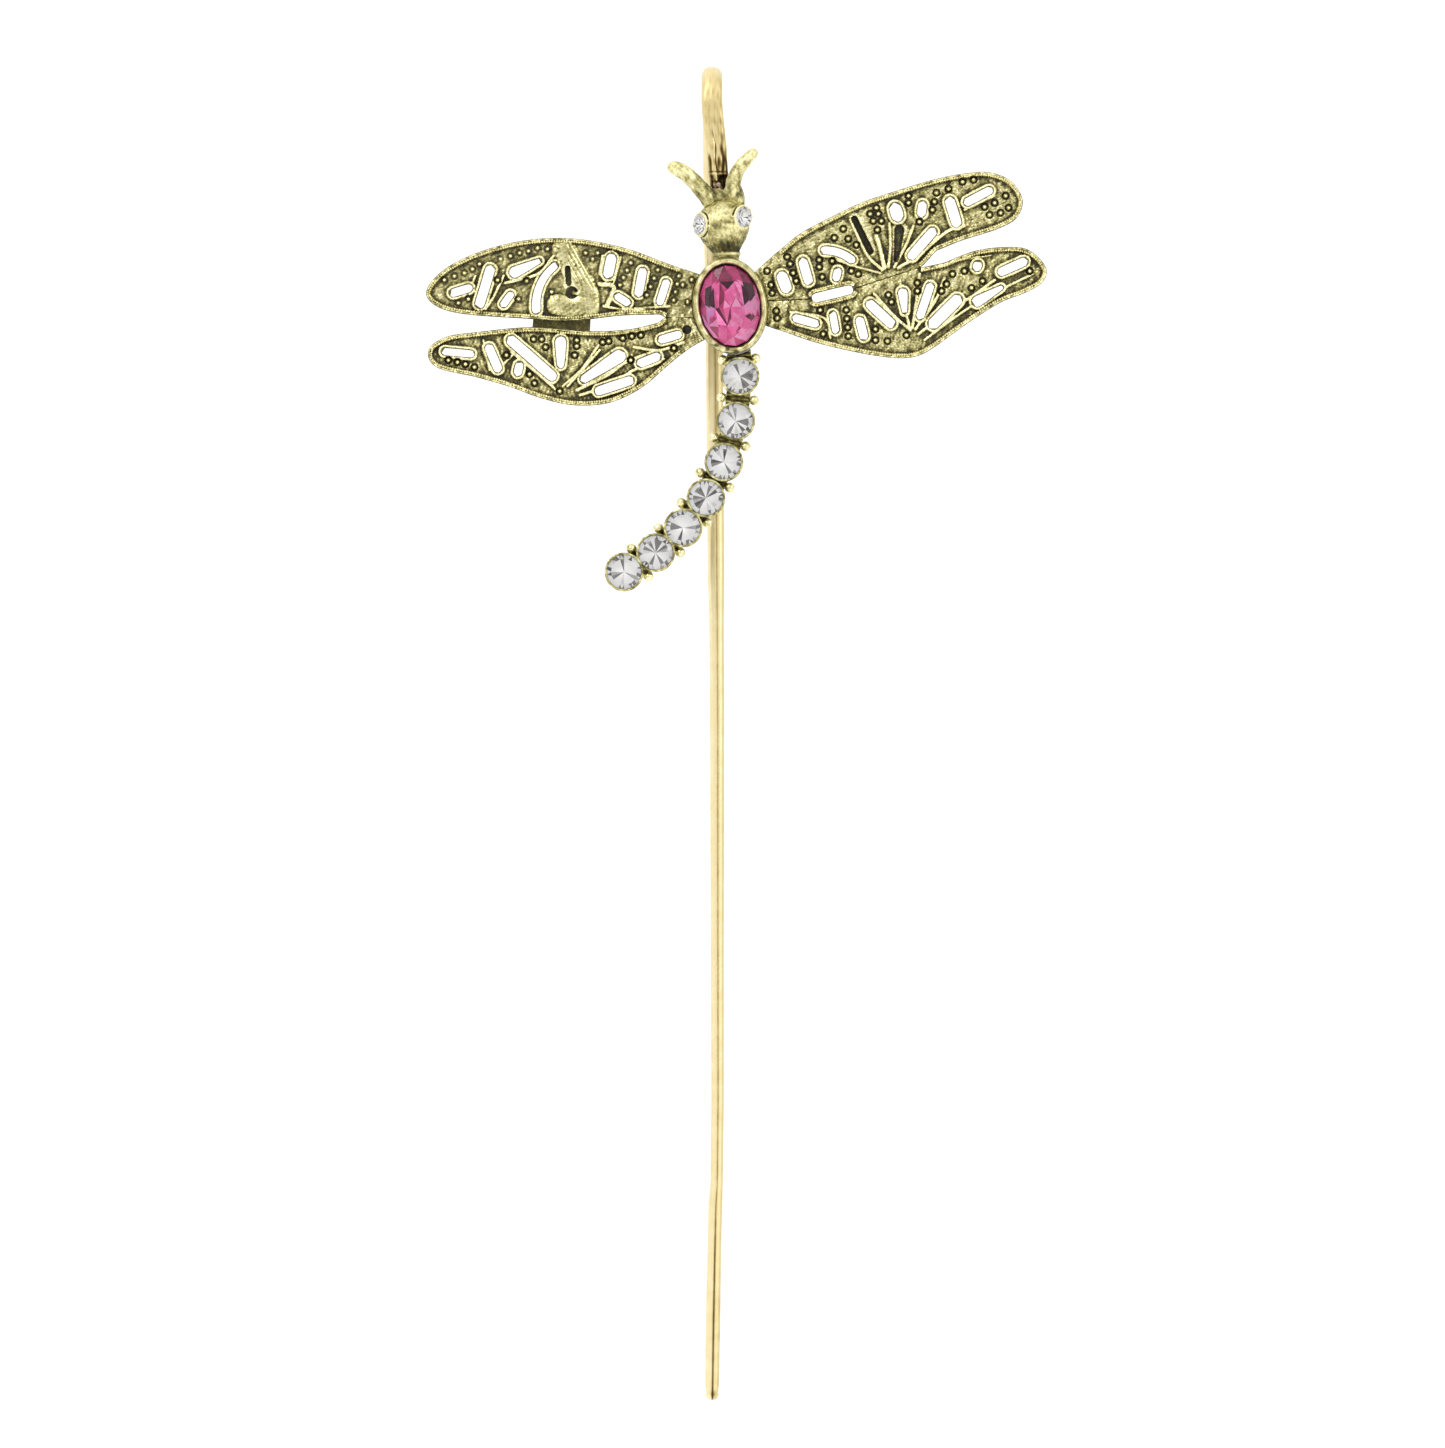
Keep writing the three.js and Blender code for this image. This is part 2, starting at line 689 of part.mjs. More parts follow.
const upperRightWing = {
  border: [
    [2.3, 3.2], [5.1, 5.7], [7.1, 7.3], [10.2, 8.95], [13.3, 10.4], [16.9, 11.6], [20.4, 12.65],
    [23.5, 13.25], [25.8, 13.35], [28, 12.5], [29.2, 10.6], [28.6, 8.8], [26.7, 7.7], [23, 6.5],
    [20.6, 5.5],
  ],
  seam: rightSeam,
  seamShift: clearance / 2,
  openings: [
    [5, 3.45, 5.8, 1.3, 1.1],
    [7.15, 4.85, 7.95, 2.1, 0.9],
    [10.85, 3.85, 10.5, 2.45, 0.75],
    [9.05, 5.7, 12.5, 4.5, 0.8, 0.8, 0.25],
    [16.3, 10.3, 16.9, 8.45, 1.2],
    [19.25, 10.5, 19.05, 8.85, 0.85],
    [21.8, 10.9, 22.75, 7.85, 1],
    [23.35, 10.2, 26.2, 11.7, 0.8],
    [17.85, 4.7, 20.5, 7.75, 0.9],
    rightSlot,
  ],
};

const lowerRightWing = {
  border: [
    [21.4, 4.35], [24.4, 5.5], [27.5, 5.9], [29.8, 5.6], [31.5, 3.9], [31.2, 2.4], [29.5, 1.35],
    [27.1, 0.4], [24.4, -1.25], [22.4, -2.65], [20.4, -4.1], [18.8, -4.95], [16.9, -5.2],
    [14.2, -4.9], [11.2, -4.3], [8.1, -3.5], [5.1, -2.45], [2.3, -1.5],
  ],
  seam: rightSeam.toReversed(),
  seamShift: -clearance / 2,
  openings: [
    [6.2, -1.1, 8.9, -1.85, 0.8],
    [10.2, -0.5, 10.6, -2.75, 0.7],
    [12.85, -1.05, 13.45, -3.4, 0.85],
    [13.65, 0.5, 16.4, -2.05, 0.95],
    [17.2, 1.8, 17.45, -0.8, 0.95, 0.5],
    [20.1, 2.35, 18.85, -1.35, 0.8],
    [19.9, -2.15, 23.05, 1, 1.1],
    [24.2, 0.2, 27.25, 1.95, 1.05, 0.45],
    [24.9, 4.5, 24.45, 3.5, 0.85],
    [26.7, 3.25, 29.7, 4.6, 0.85],
    rightSlot,
  ],
};

// The strap behind the two left wings.
function leftWingStrut() {
  const scale = wingSpan / drawnSpan;
  const shape = new THREE.Shape(vectors([[-14, -3], [-13.9, -0.8], [-19.6, -0.7], [-19.8, -2.9]], scale));
  return plate(shape, strutThickness, 1).translate([0, 0, -clearance - strutThickness]);
}

function dragonfly() {
  const group = new THREE.Group();
  group.add(piece("centre_bezel", centreBezel(), antiqueBrass));
  group.add(piece("centre_stone", centreStone(), pinkCrystal));
  group.add(piece("centre_cement", centreCement(), cement));
  group.add(piece("head", head(), antiqueBrass));
  group.add(piece("antennae", antennae(), antiqueBrass));
  for (const eye of eyes) {
    group.add(piece(`eye_crystal_${eye.side}`, eyeCrystal(eye), clearCrystal));
    group.add(piece(`eye_cement_${eye.side}`, eyeCement(eye), cement));
  }
  group.add(piece("upper_left_wing", wing(upperLeftWing), antiqueBrass));
  group.add(piece("lower_left_wing", wing(lowerLeftWing), antiqueBrass));
  group.add(piece("left_wing_strut", leftWingStrut(), antiqueBrass));
  group.add(piece("upper_right_wing", wing(upperRightWing), antiqueBrass));
  group.add(piece("lower_right_wing", wing(lowerRightWing), antiqueBrass));
  group.add(piece("tail_setting", tailSetting(), antiqueBrass));
  crystalMiddles.forEach((middle, i) => {
    group.add(piece(`tail_crystal_${i + 1}`, tailCrystal(middle), clearCrystal));
    group.add(piece(`tail_cement_${i + 1}`, tailCement(middle), cement));
  });
  group.rotation.x = Math.PI / 2;
  group.position.set(stoneX, dragonflyBack, stoneZ);
  return group;
}

const hatPin = new THREE.Group();
hatPin.add(piece("hook_bar", hookBar(), polishedBrass));
hatPin.add(piece("solder_joint", solderJoint(), solder));
hatPin.add(dragonfly());

export default hatPin;
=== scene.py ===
"""Looks of the dragonfly hat pin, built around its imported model.

Lengths are millimetres in the dragonfly's own frame until a piece is made: x to the right, y up and
z towards the viewer, from the point on the dragonfly's back behind the middle stone.
"""
import math

import bpy
import numpy as np
import openvdb
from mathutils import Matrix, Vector
from mathutils.geometry import delaunay_2d_cdt

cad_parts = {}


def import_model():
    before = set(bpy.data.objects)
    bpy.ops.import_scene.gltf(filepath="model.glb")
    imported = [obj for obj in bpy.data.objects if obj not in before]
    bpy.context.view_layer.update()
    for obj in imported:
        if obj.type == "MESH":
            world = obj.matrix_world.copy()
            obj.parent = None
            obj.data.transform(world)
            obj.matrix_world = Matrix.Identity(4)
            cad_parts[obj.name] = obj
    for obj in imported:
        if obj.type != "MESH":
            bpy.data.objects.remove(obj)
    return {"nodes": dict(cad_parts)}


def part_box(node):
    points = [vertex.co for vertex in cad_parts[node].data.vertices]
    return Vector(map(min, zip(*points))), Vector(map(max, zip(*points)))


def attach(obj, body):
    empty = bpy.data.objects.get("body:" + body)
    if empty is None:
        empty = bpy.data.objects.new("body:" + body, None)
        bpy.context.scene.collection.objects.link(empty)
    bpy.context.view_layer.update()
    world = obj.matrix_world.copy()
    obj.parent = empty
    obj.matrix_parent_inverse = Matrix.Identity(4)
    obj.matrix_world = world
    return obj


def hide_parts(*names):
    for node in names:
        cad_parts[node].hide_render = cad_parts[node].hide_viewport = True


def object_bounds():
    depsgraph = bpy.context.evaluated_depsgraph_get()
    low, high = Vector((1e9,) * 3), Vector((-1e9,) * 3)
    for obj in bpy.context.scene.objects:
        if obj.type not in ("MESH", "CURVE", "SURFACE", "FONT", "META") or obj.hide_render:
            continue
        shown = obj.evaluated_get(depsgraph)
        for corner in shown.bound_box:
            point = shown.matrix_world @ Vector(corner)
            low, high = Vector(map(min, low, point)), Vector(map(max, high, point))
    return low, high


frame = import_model()
cad_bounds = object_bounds()

MM = 0.001

# The dragonfly's frame

bezel_low, bezel_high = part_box("centre_bezel")
ORIGIN = np.array([(bezel_low.x + bezel_high.x) / 2, bezel_high.y, (bezel_low.z + bezel_high.z) / 2])


def to_row(points):
    points = np.asarray(points, float)
    turned = np.stack([points[:, 0], -points[:, 2], points[:, 1]], axis=1)
    return ORIGIN + MM * turned


def from_row(points):
    away = (np.asarray(points, float) - ORIGIN) / MM
    return np.stack([away[:, 0], away[:, 2], -away[:, 1]], axis=1)


def node_mesh(node):
    """A CAD node's corners and triangles, with corners at one place merged."""
    mesh = frame["nodes"][node].data
    mesh.calc_loop_triangles()
    corners = np.empty(len(mesh.vertices) * 3, np.float32)
    mesh.vertices.foreach_get("co", corners)
    triangles = np.empty(len(mesh.loop_triangles) * 3, np.int32)
    mesh.loop_triangles.foreach_get("vertices", triangles)
    points = from_row(corners.reshape(-1, 3))
    merged = np.round(points, 3)
    _, first, index = np.unique(merged, axis=0, return_index=True, return_inverse=True)
    return points[first], index.reshape(-1)[triangles.reshape(-1, 3)]


# Number helpers


def smooth_step(value, low, high):
    share = np.clip((value - low) / (high - low), 0, 1)
    return share * share * (3 - 2 * share)


def join(a, b, radius):
    """Union of two distance fields with a fillet of that radius."""
    share = np.clip(0.5 + 0.5 * (b - a) / radius, 0, 1)
    return b + (a - b) * share - radius * share * (1 - share)


def cut(a, b, radius):
    """Field a with the inside of b taken away, with rounded edges."""
    return -join(-a, b, radius)


def blurred(field, sigma):
    """Gaussian blur, with sigma in cells."""
    reach = int(3 * sigma) + 1
    offsets = np.arange(-reach, reach + 1)
    weights = np.exp(-0.5 * (offsets / sigma) ** 2)
    weights /= weights.sum()
    for axis in range(field.ndim):
        padding = [(reach, reach) if k == axis else (0, 0) for k in range(field.ndim)]
        padded = np.pad(field, padding, mode="edge")
        count = field.shape[axis]
        slices = [np.take(padded, range(k, k + count), axis=axis) for k in range(2 * reach + 1)]
        field = sum(weight * part for weight, part in zip(weights, slices))
    return field


def ripple(points, size, seed, waves=14):
    """Smooth noise from -1 to 1 at each point, with lumps of about that size."""
    random = np.random.default_rng(seed)
    total = 0
    for _ in range(waves):
        direction = random.normal(size=len(points))
        direction *= 2 * math.pi / (size * np.linalg.norm(direction) * random.uniform(0.7, 1.6))
        phase = random.uniform(0, 2 * math.pi)
        total = total + np.sin(sum(d * p for d, p in zip(direction, points)) + phase)
    return total / math.sqrt(waves)


# Meshes


def quads_between(first, second, closed=True):
    """Faces that join two rings of point numbers."""
    first, second = np.asarray(first), np.asarray(second)
    if closed:
        ahead_first, ahead_second = np.roll(first, -1), np.roll(second, -1)
    else:
        first, ahead_first = first[:-1], first[1:]
        second, ahead_second = second[:-1], second[1:]
    return np.stack([first, ahead_first, ahead_second, second], axis=1)


def grid_faces(rows, count, closed=True):
    rings = np.arange(rows * count).reshape(rows, count)
    return np.concatenate([quads_between(rings[k], rings[k + 1], closed) for k in range(rows - 1)])


def end_fans(rows, count):
    """Triangles that close both ends of stacked rings, to two points numbered after them."""
    numbers = np.arange(count)
    last = (rows - 1) * count + numbers
    first_fan = np.stack([np.roll(numbers, -1), numbers, np.full(count, rows * count)], axis=1)
    last_fan = np.stack([last, np.roll(last, -1), np.full(count, rows * count + 1)], axis=1)
    return first_fan, last_fan


def add_piece(name, points, face_sets, nodes, materials, smooth=40, values=None, parts=None,
              reflection_tones=None):
    """A mesh piece from points in the dragonfly's frame. `values` are numbers for each point by
    attribute name. `parts` is the material number of each face; the last argument gives each face's painted
    reflection value on the foil."""
    mesh = bpy.data.meshes.new(name)
    sizes = np.concatenate([np.full(len(faces), faces.shape[1]) for faces in face_sets])
    corners = np.concatenate([faces.reshape(-1) for faces in face_sets]).astype(np.int32)
    mesh.vertices.add(len(points))
    mesh.vertices.foreach_set("co", to_row(points).astype(np.float32).reshape(-1))
    mesh.loops.add(len(corners))
    mesh.loops.foreach_set("vertex_index", corners)
    mesh.polygons.add(len(sizes))
    starts = np.concatenate([[0], np.cumsum(sizes)[:-1]]).astype(np.int32)
    mesh.polygons.foreach_set("loop_start", starts)
    for attribute, numbers in (values or {}).items():
        made = mesh.attributes.new(attribute, "FLOAT", "POINT")
        made.data.foreach_set("value", np.asarray(numbers, np.float32))
    for material in materials:
        mesh.materials.append(material)
    if parts is not None:
        mesh.polygons.foreach_set("material_index", np.asarray(parts, np.int32))
    if reflection_tones is not None:
        made = mesh.attributes.new("reflection_tone", "FLOAT", "FACE")
        made.data.foreach_set("value", np.asarray(reflection_tones, np.float32))
    mesh.update(calc_edges=True)
    if smooth:
        mesh.shade_smooth()
        mesh.set_sharp_from_angle(angle=math.radians(smooth))
    else:
        mesh.shade_flat()
    piece = bpy.data.objects.new(name, mesh)
    bpy.context.scene.collection.objects.link(piece)
    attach(piece, "root")
    if nodes:
        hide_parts(*nodes)
    return piece


def hollows(points, faces, rounds, depth):
    """How far each point lies in a hollow, from -1 on a crest to 1, for hollows of that depth."""
    sides = [faces[:, [k, (k + 1) % faces.shape[1]]] for k in range(faces.shape[1])]
    edges = np.unique(np.sort(np.concatenate(sides), axis=1), axis=0)
    count = len(points)
    degree = np.bincount(edges.reshape(-1), minlength=count)
    first, second = edges[:, 0], edges[:, 1]
    around = points
    for _ in range(rounds):
        total = [
            np.bincount(first, around[second, k], count) + np.bincount(second, around[first, k], count)
            for k in range(3)
        ]
        around = np.stack(total, axis=1) / degree[:, None]
    spans = points[faces]
    normals = np.cross(spans[:, 2] - spans[:, 0], spans[:, -1] - spans[:, 1])
    summed = np.stack([np.bincount(faces.reshape(-1), np.repeat(normals[:, k], faces.shape[1]), count)
                       for k in range(3)], axis=1)
    unit = summed / np.maximum(np.linalg.norm(summed, axis=1, keepdims=True), 1e-9)
    return np.clip(((around - points) * unit).sum(axis=1) / depth, -1, 1)


# Volumes: distance fields on a regular grid


class Volume:
    """A box of grid points with a distance field, negative inside the solid."""

    def __init__(self, low, high, step):
        self.low, self.step = np.asarray(low, float), step
        self.count = np.ceil((np.asarray(high) - self.low) / step).astype(int) + 1
        axes = [self.low[k] + step * np.arange(self.count[k]) for k in range(3)]
        self.axes = [axis.astype(np.float32) for axis in axes]
        self.field = np.full(self.count, 1, np.float32)

    @classmethod
    def around(cls, node, step, margin, band=8):
        """The volume of a CAD node."""
        points, triangles = node_mesh(node)
        volume = cls(points.min(0) - margin, points.max(0) + margin, step)
        level = openvdb.FloatGrid.createLevelSetFromPolygons(
            (points - volume.low).astype(np.float32),
            triangles=triangles.astype(np.uint32),
            transform=openvdb.createLinearTransform(voxelSize=step),
            halfWidth=band,
        )
        level.copyToArray(volume.field, (0, 0, 0))
        return volume

    def places(self, low=None, high=None):
        """The grid's x, y and z in a window, and the window's slices."""
        window = []
        for k in range(3):
            start = 0 if low is None else np.searchsorted(self.axes[k], low[k])
            stop = self.count[k] if high is None else np.searchsorted(self.axes[k], high[k])
            window.append(slice(int(start), int(max(stop, start + 1))))
        window = tuple(window)
        grid = np.meshgrid(*[axis[part] for axis, part in zip(self.axes, window)], indexing="ij", sparse=True)
        return grid, window

    def shape(self, distance, centre, reach, how, radius):
        """Joins to the field, or cuts from it, a shape given by its distance function."""
        centre = np.asarray(centre, float)
        grid, window = self.places(centre - reach, centre + reach)
        self.field[window] = how(self.field[window], distance(*grid), radius)

    def surface(self):
        grid = openvdb.FloatGrid(float(self.field.max()))
        grid.copyFromArray(np.ascontiguousarray(self.field, dtype=np.float32))
        points, quads = grid.convertToQuads(0.0)
        return points.astype(float) * self.step + self.low, quads.astype(np.int64)


def ball(centre, radius):
    """The distance function of a ball."""
    def distance(x, y, z):
        return np.sqrt((x - centre[0]) ** 2 + (y - centre[1]) ** 2 + (z - centre[2]) ** 2) - radius

    return distance


# Materials


class Graph:
    """A material's nodes, made by short calls."""

    def __init__(self, name):
        self.material = bpy.data.materials.new(name)
        self.material.use_nodes = True
        self.tree = self.material.node_tree
        self.shader = self.tree.nodes["Principled BSDF"]
        self.place = self.add("ShaderNodeTexCoord").outputs["Object"]

    def add(self, kind, links=None, **settings):
        node = self.tree.nodes.new(kind)
        for key, value in settings.items():
            setattr(node, key, value)
        for socket, value in (links or {}).items():
            self.put(node, socket, value)
        return node

    def put(self, node, socket, value):
        if isinstance(value, bpy.types.NodeSocket):
            self.tree.links.new(value, node.inputs[socket])
        else:
            node.inputs[socket].default_value = value

    def set(self, **values):
        for name, value in values.items():
            self.put(self.shader, name.replace("_", " "), value)

    def noise(self, size, detail=3.0, roughness=0.55):
        """Noise with lumps of that size in millimetres."""
        links = {"Vector": self.place, "Scale": 1 / (size * MM), "Detail": detail, "Roughness": roughness}
        return self.add("ShaderNodeTexNoise", links).outputs["Fac"]

    def attribute(self, name):
        return self.add("ShaderNodeAttribute", attribute_name=name).outputs["Fac"]

    def math(self, operation, a, b=0.0):
        return self.add("ShaderNodeMath", {0: a, 1: b}, operation=operation).outputs[0]

    def span(self, value, low, high, to_low=0.0, to_high=1.0):
        links = {"Value": value, "From Min": low, "From Max": high, "To Min": to_low, "To Max": to_high}
        return self.add("ShaderNodeMapRange", links).outputs["Result"]

    def ramp(self, value, stops):
        node = self.add("ShaderNodeValToRGB", {"Fac": value})
        ramp = node.color_ramp
        while len(ramp.elements) < len(stops):
            ramp.elements.new(0.5)
        for element, (place, colour) in zip(ramp.elements, stops):
            element.position = place
            element.color = (*colour, 1)
        return node.outputs["Color"]

    def mix(self, factor, a, b, blend="MIX"):
        node = self.add("ShaderNodeMix", data_type="RGBA", blend_type=blend)
        for socket, value in zip((0, 6, 7), (factor, a, b)):
            value = (*value, 1) if isinstance(value, tuple) else value
            self.put(node, socket, value)
        return node.outputs[2]

    def bump(self, height, distance):
        links = {"Height": height, "Distance": distance * MM, "Strength": 1.0}
        return self.add("ShaderNodeBump", links).outputs["Normal"]


def antique_brass(name, smoothest, roughest, lift):
    """Brass with a dark patina in its hollows, rubbed bright on its crests; on some pieces the same values
    also hold painted shade. `lift` adds patina all over.
    """
    g = Graph(name)
    patina_and_shade = g.math("ADD", g.attribute("patina_and_shade"), g.span(g.noise(0.9), 0.3, 0.7, lift - 0.12, lift + 0.12))
    speckle = g.span(g.noise(0.16, 2.0), 0.35, 0.65, -0.08, 0.08)
    depth = g.math("ADD", patina_and_shade, speckle)
    stops = [
        (0.0, (0.93, 0.87, 0.55)),
        (0.22, (0.72, 0.66, 0.35)),
        (0.45, (0.38, 0.34, 0.145)),
        (0.7, (0.12, 0.105, 0.04)),
        (1.0, (0.028, 0.026, 0.016)),
    ]
    colour = g.ramp(depth, stops)
    green = g.mix(g.span(g.noise(1.7), 0.45, 0.75, 0.0, 0.25), colour, (0.6, 0.66, 0.4), "MULTIPLY")
    g.set(Base_Color=green, Metallic=g.span(depth, 0.45, 1.0, 1.0, 0.55))
    g.set(Roughness=g.span(depth, 0.0, 0.8, smoothest, roughest))
    grit = g.math("ADD", g.noise(0.12, 3.0), g.math("MULTIPLY", g.noise(0.5), 1.5))
    g.set(Normal=g.bump(grit, 0.012))
    return g.material


def polished_brass():
    """Drawn and polished brass wire with thin lines along it and patina in its grooves, plus painted shade
    and a painted dark reflection from the bar's values.
    """
    g = Graph("polished_brass_finish")
    depth = g.math("ADD", g.attribute("patina_and_shade"), g.span(g.noise(1.4), 0.35, 0.7, -0.05, 0.06))
    stops = [
        (0.0, (0.96, 0.84, 0.53)),
        (0.3, (0.72, 0.59, 0.29)),
        (0.6, (0.27, 0.195, 0.075)),
        (1.0, (0.045, 0.03, 0.012)),
    ]
    g.set(Base_Color=g.ramp(depth, stops), Metallic=1.0)
    g.set(Roughness=g.span(depth, 0.1, 0.4, 0.33, 0.55))
    stretch = g.add("ShaderNodeMapping", {"Vector": g.place, "Scale": (1.0, 1.0, 0.04)})
    links = {"Vector": stretch.outputs["Vector"], "Scale": 1 / (0.1 * MM), "Detail": 2.0}
    lines = g.add("ShaderNodeTexNoise", links).outputs["Fac"]
    g.set(Normal=g.bump(lines, 0.008))
    return g.material


def solder_finish():
    g = Graph("solder_finish")
    blotch = g.noise(0.5)
    stops = [(0.3, (0.10, 0.055, 0.05)), (0.5, (0.24, 0.15, 0.12)), (0.72, (0.55, 0.42, 0.28))]
    g.set(Base_Color=g.ramp(blotch, stops), Metallic=0.9)
    g.set(Roughness=g.span(blotch, 0.3, 0.7, 0.6, 0.35))
    g.set(Normal=g.bump(g.noise(0.25), 0.04))
    return g.material


def cement_finish():
    g = Graph("cement_finish")
    grain = g.noise(0.2)
    g.set(Base_Color=g.ramp(grain, [(0.3, (0.20, 0.20, 0.21)), (0.7, (0.36, 0.36, 0.37))]))
    g.set(Roughness=g.span(grain, 0.3, 0.7, 0.55, 0.8), Normal=g.bump(grain, 0.03))
    return g.material


def glass(name, colour):
    g = Graph(name)
    g.set(Base_Color=(*colour, 1), IOR=1.54, Transmission_Weight=1.0)
    g.set(Roughness=g.span(g.noise(1.2), 0.3, 0.7, 0.0, 0.03))
    return g.material


def foil(name, stops):
    """The silvering behind a stone, with a painted light or dark reflection on each facet."""
    g = Graph(name)
    reflection_tone = g.math("ADD", g.attribute("reflection_tone"), g.span(g.noise(0.6), 0.3, 0.7, -0.07, 0.07))
    g.set(Base_Color=g.ramp(reflection_tone, stops), Metallic=0.35, Roughness=0.35)
    return g.material


ANTIQUE = antique_brass("antique_brass_finish", 0.27, 0.6, 0.0)
SATIN = antique_brass("satin_brass_finish", 0.5, 0.68, 0.1)
STRAP = antique_brass("strap_brass_finish", 0.45, 0.65, 0.7)
POLISHED = polished_brass()
SOLDER = solder_finish()
CEMENT = cement_finish()
CLEAR_GLASS = glass("clear_crystal_glass", (1.0, 1.0, 1.0))
PINK_GLASS = glass("pink_crystal_glass", (1.0, 0.9, 0.95))
# The foils' ramps run from near black to white or pale pink. They are painted reflections, and the pink ramp
# also carries the pink stone's own colour.
CLEAR_FOIL = foil("clear_foil_painted_reflections", [
    (0.0, (0.035, 0.035, 0.035)), (0.5, (0.3, 0.29, 0.28)), (0.8, (0.9, 0.89, 0.88)), (1.0, (1, 1, 1)),
])
PINK_FOIL = foil("pink_foil_painted_reflections", [
    (0.0, (0.02, 0.003, 0.01)), (0.25, (0.14, 0.01, 0.04)), (0.5, (0.66, 0.06, 0.24)),
    (0.75, (0.93, 0.21, 0.5)), (0.84, (1.0, 0.5, 0.76)), (0.93, (1.0, 0.52, 0.76)), (1.0, (0.72, 0.38, 0.74)),
])

# Wings

WING_STEP = 0.065  # grid spacing
WING_FLOOR = 0.74  # height of the sunk ground between the raised work
ROPE_PITCH = 0.25
GRAIN_RADIUS = 0.25
WELL_FLOOR = WING_FLOOR - 0.14  # bottom of the dark ring round each grain
RIM_MIDDLE, RIM_HALF = 0.17, 0.2  # the smooth rim round an opening, in from its edge
BAND_MIDDLE, BAND_HALF = 0.1, 0.17  # the smooth band along the wing's edge
ROPE_MIDDLE, ROPE_HALF = 0.34, 0.17  # the row of small beads inside the band
GROOVE_MIDDLE, GROOVE_HALF, GROOVE_DEPTH = 0.62, 0.09, 0.16
NEAR_REACH = 1.3  # distances to an outline are measured up to here


def outlines(node):
    """The edge loops of a plate's front face, the outer one first."""
    points, triangles = node_mesh(node)
    front = points[:, 2] > points[:, 2].max() - 0.01
    faces = triangles[front[triangles].all(axis=1)]
    ahead = {}
    edges = {(a, b) for face in faces for a, b in zip(face, np.roll(face, -1))}
    for a, b in edges:
        if (b, a) not in edges:
            ahead[a] = b
    loops = []
    while ahead:
        start, here = ahead.popitem()
        loop = [start]
        while here != start:
            loop.append(here)
            here = ahead.pop(here)
        loops.append(points[loop, :2])
    return sorted(loops, key=lambda loop: -np.ptp(loop[:, 0]))


def rounded(loop, spacing=0.14, corner=math.radians(50)):
    """A loop with its facets smoothed away and its sharp corners kept."""
    ahead = np.roll(loop, -1, axis=0) - loop
    behind = np.roll(ahead, 1, axis=0)
    turn = np.arctan2(behind[:, 0] * ahead[:, 1] - behind[:, 1] * ahead[:, 0], (behind * ahead).sum(axis=1))
    sharp = np.abs(turn) > corner
    middle = ahead + behind
    middle /= np.linalg.norm(middle, axis=1, keepdims=True)
    lengths = np.linalg.norm(ahead, axis=1)
    points = []
    for k, start in enumerate(loop):
        after = (k + 1) % len(loop)
        chord = ahead[k] / lengths[k]
        leave = (chord if sharp[k] else middle[k]) * lengths[k]
        arrive = (chord if sharp[after] else middle[after]) * lengths[k]
        for share in np.arange(0, 1, 1 / max(1, round(lengths[k] / spacing))):
            square, cube = share**2, share**3
            points.append(
                (2 * cube - 3 * square + 1) * start
                + (cube - 2 * square + share) * leave
                + (3 * square - 2 * cube) * loop[after]
                + (cube - square) * arrive
            )
    return np.array(points)


def grown(loop, fixed, growth=0.03):
    """A loop whose joined edges are moved out, which closes the gaps between the plates."""
    ahead = np.roll(loop, -1, axis=0) - np.roll(loop, 1, axis=0)
    outward = np.stack([ahead[:, 1], -ahead[:, 0]], axis=1) / np.linalg.norm(ahead, axis=1, keepdims=True)
    area = (loop[:, 0] * np.roll(loop[:, 1], -1) - np.roll(loop[:, 0], -1) * loop[:, 1]).sum()
    joined = 1 - fixed(loop[:, 0], loop[:, 1])
    return loop + np.sign(area) * growth * joined[:, None] * outward


def nearest_on(x, y, along, square):
    """The share of a straight line from the origin at its nearest point, and the distance to it."""
    share = np.clip((x * along[0] + y * along[1]) / square, 0, 1)
    return share, np.hypot(x - share * along[0], y - share * along[1])


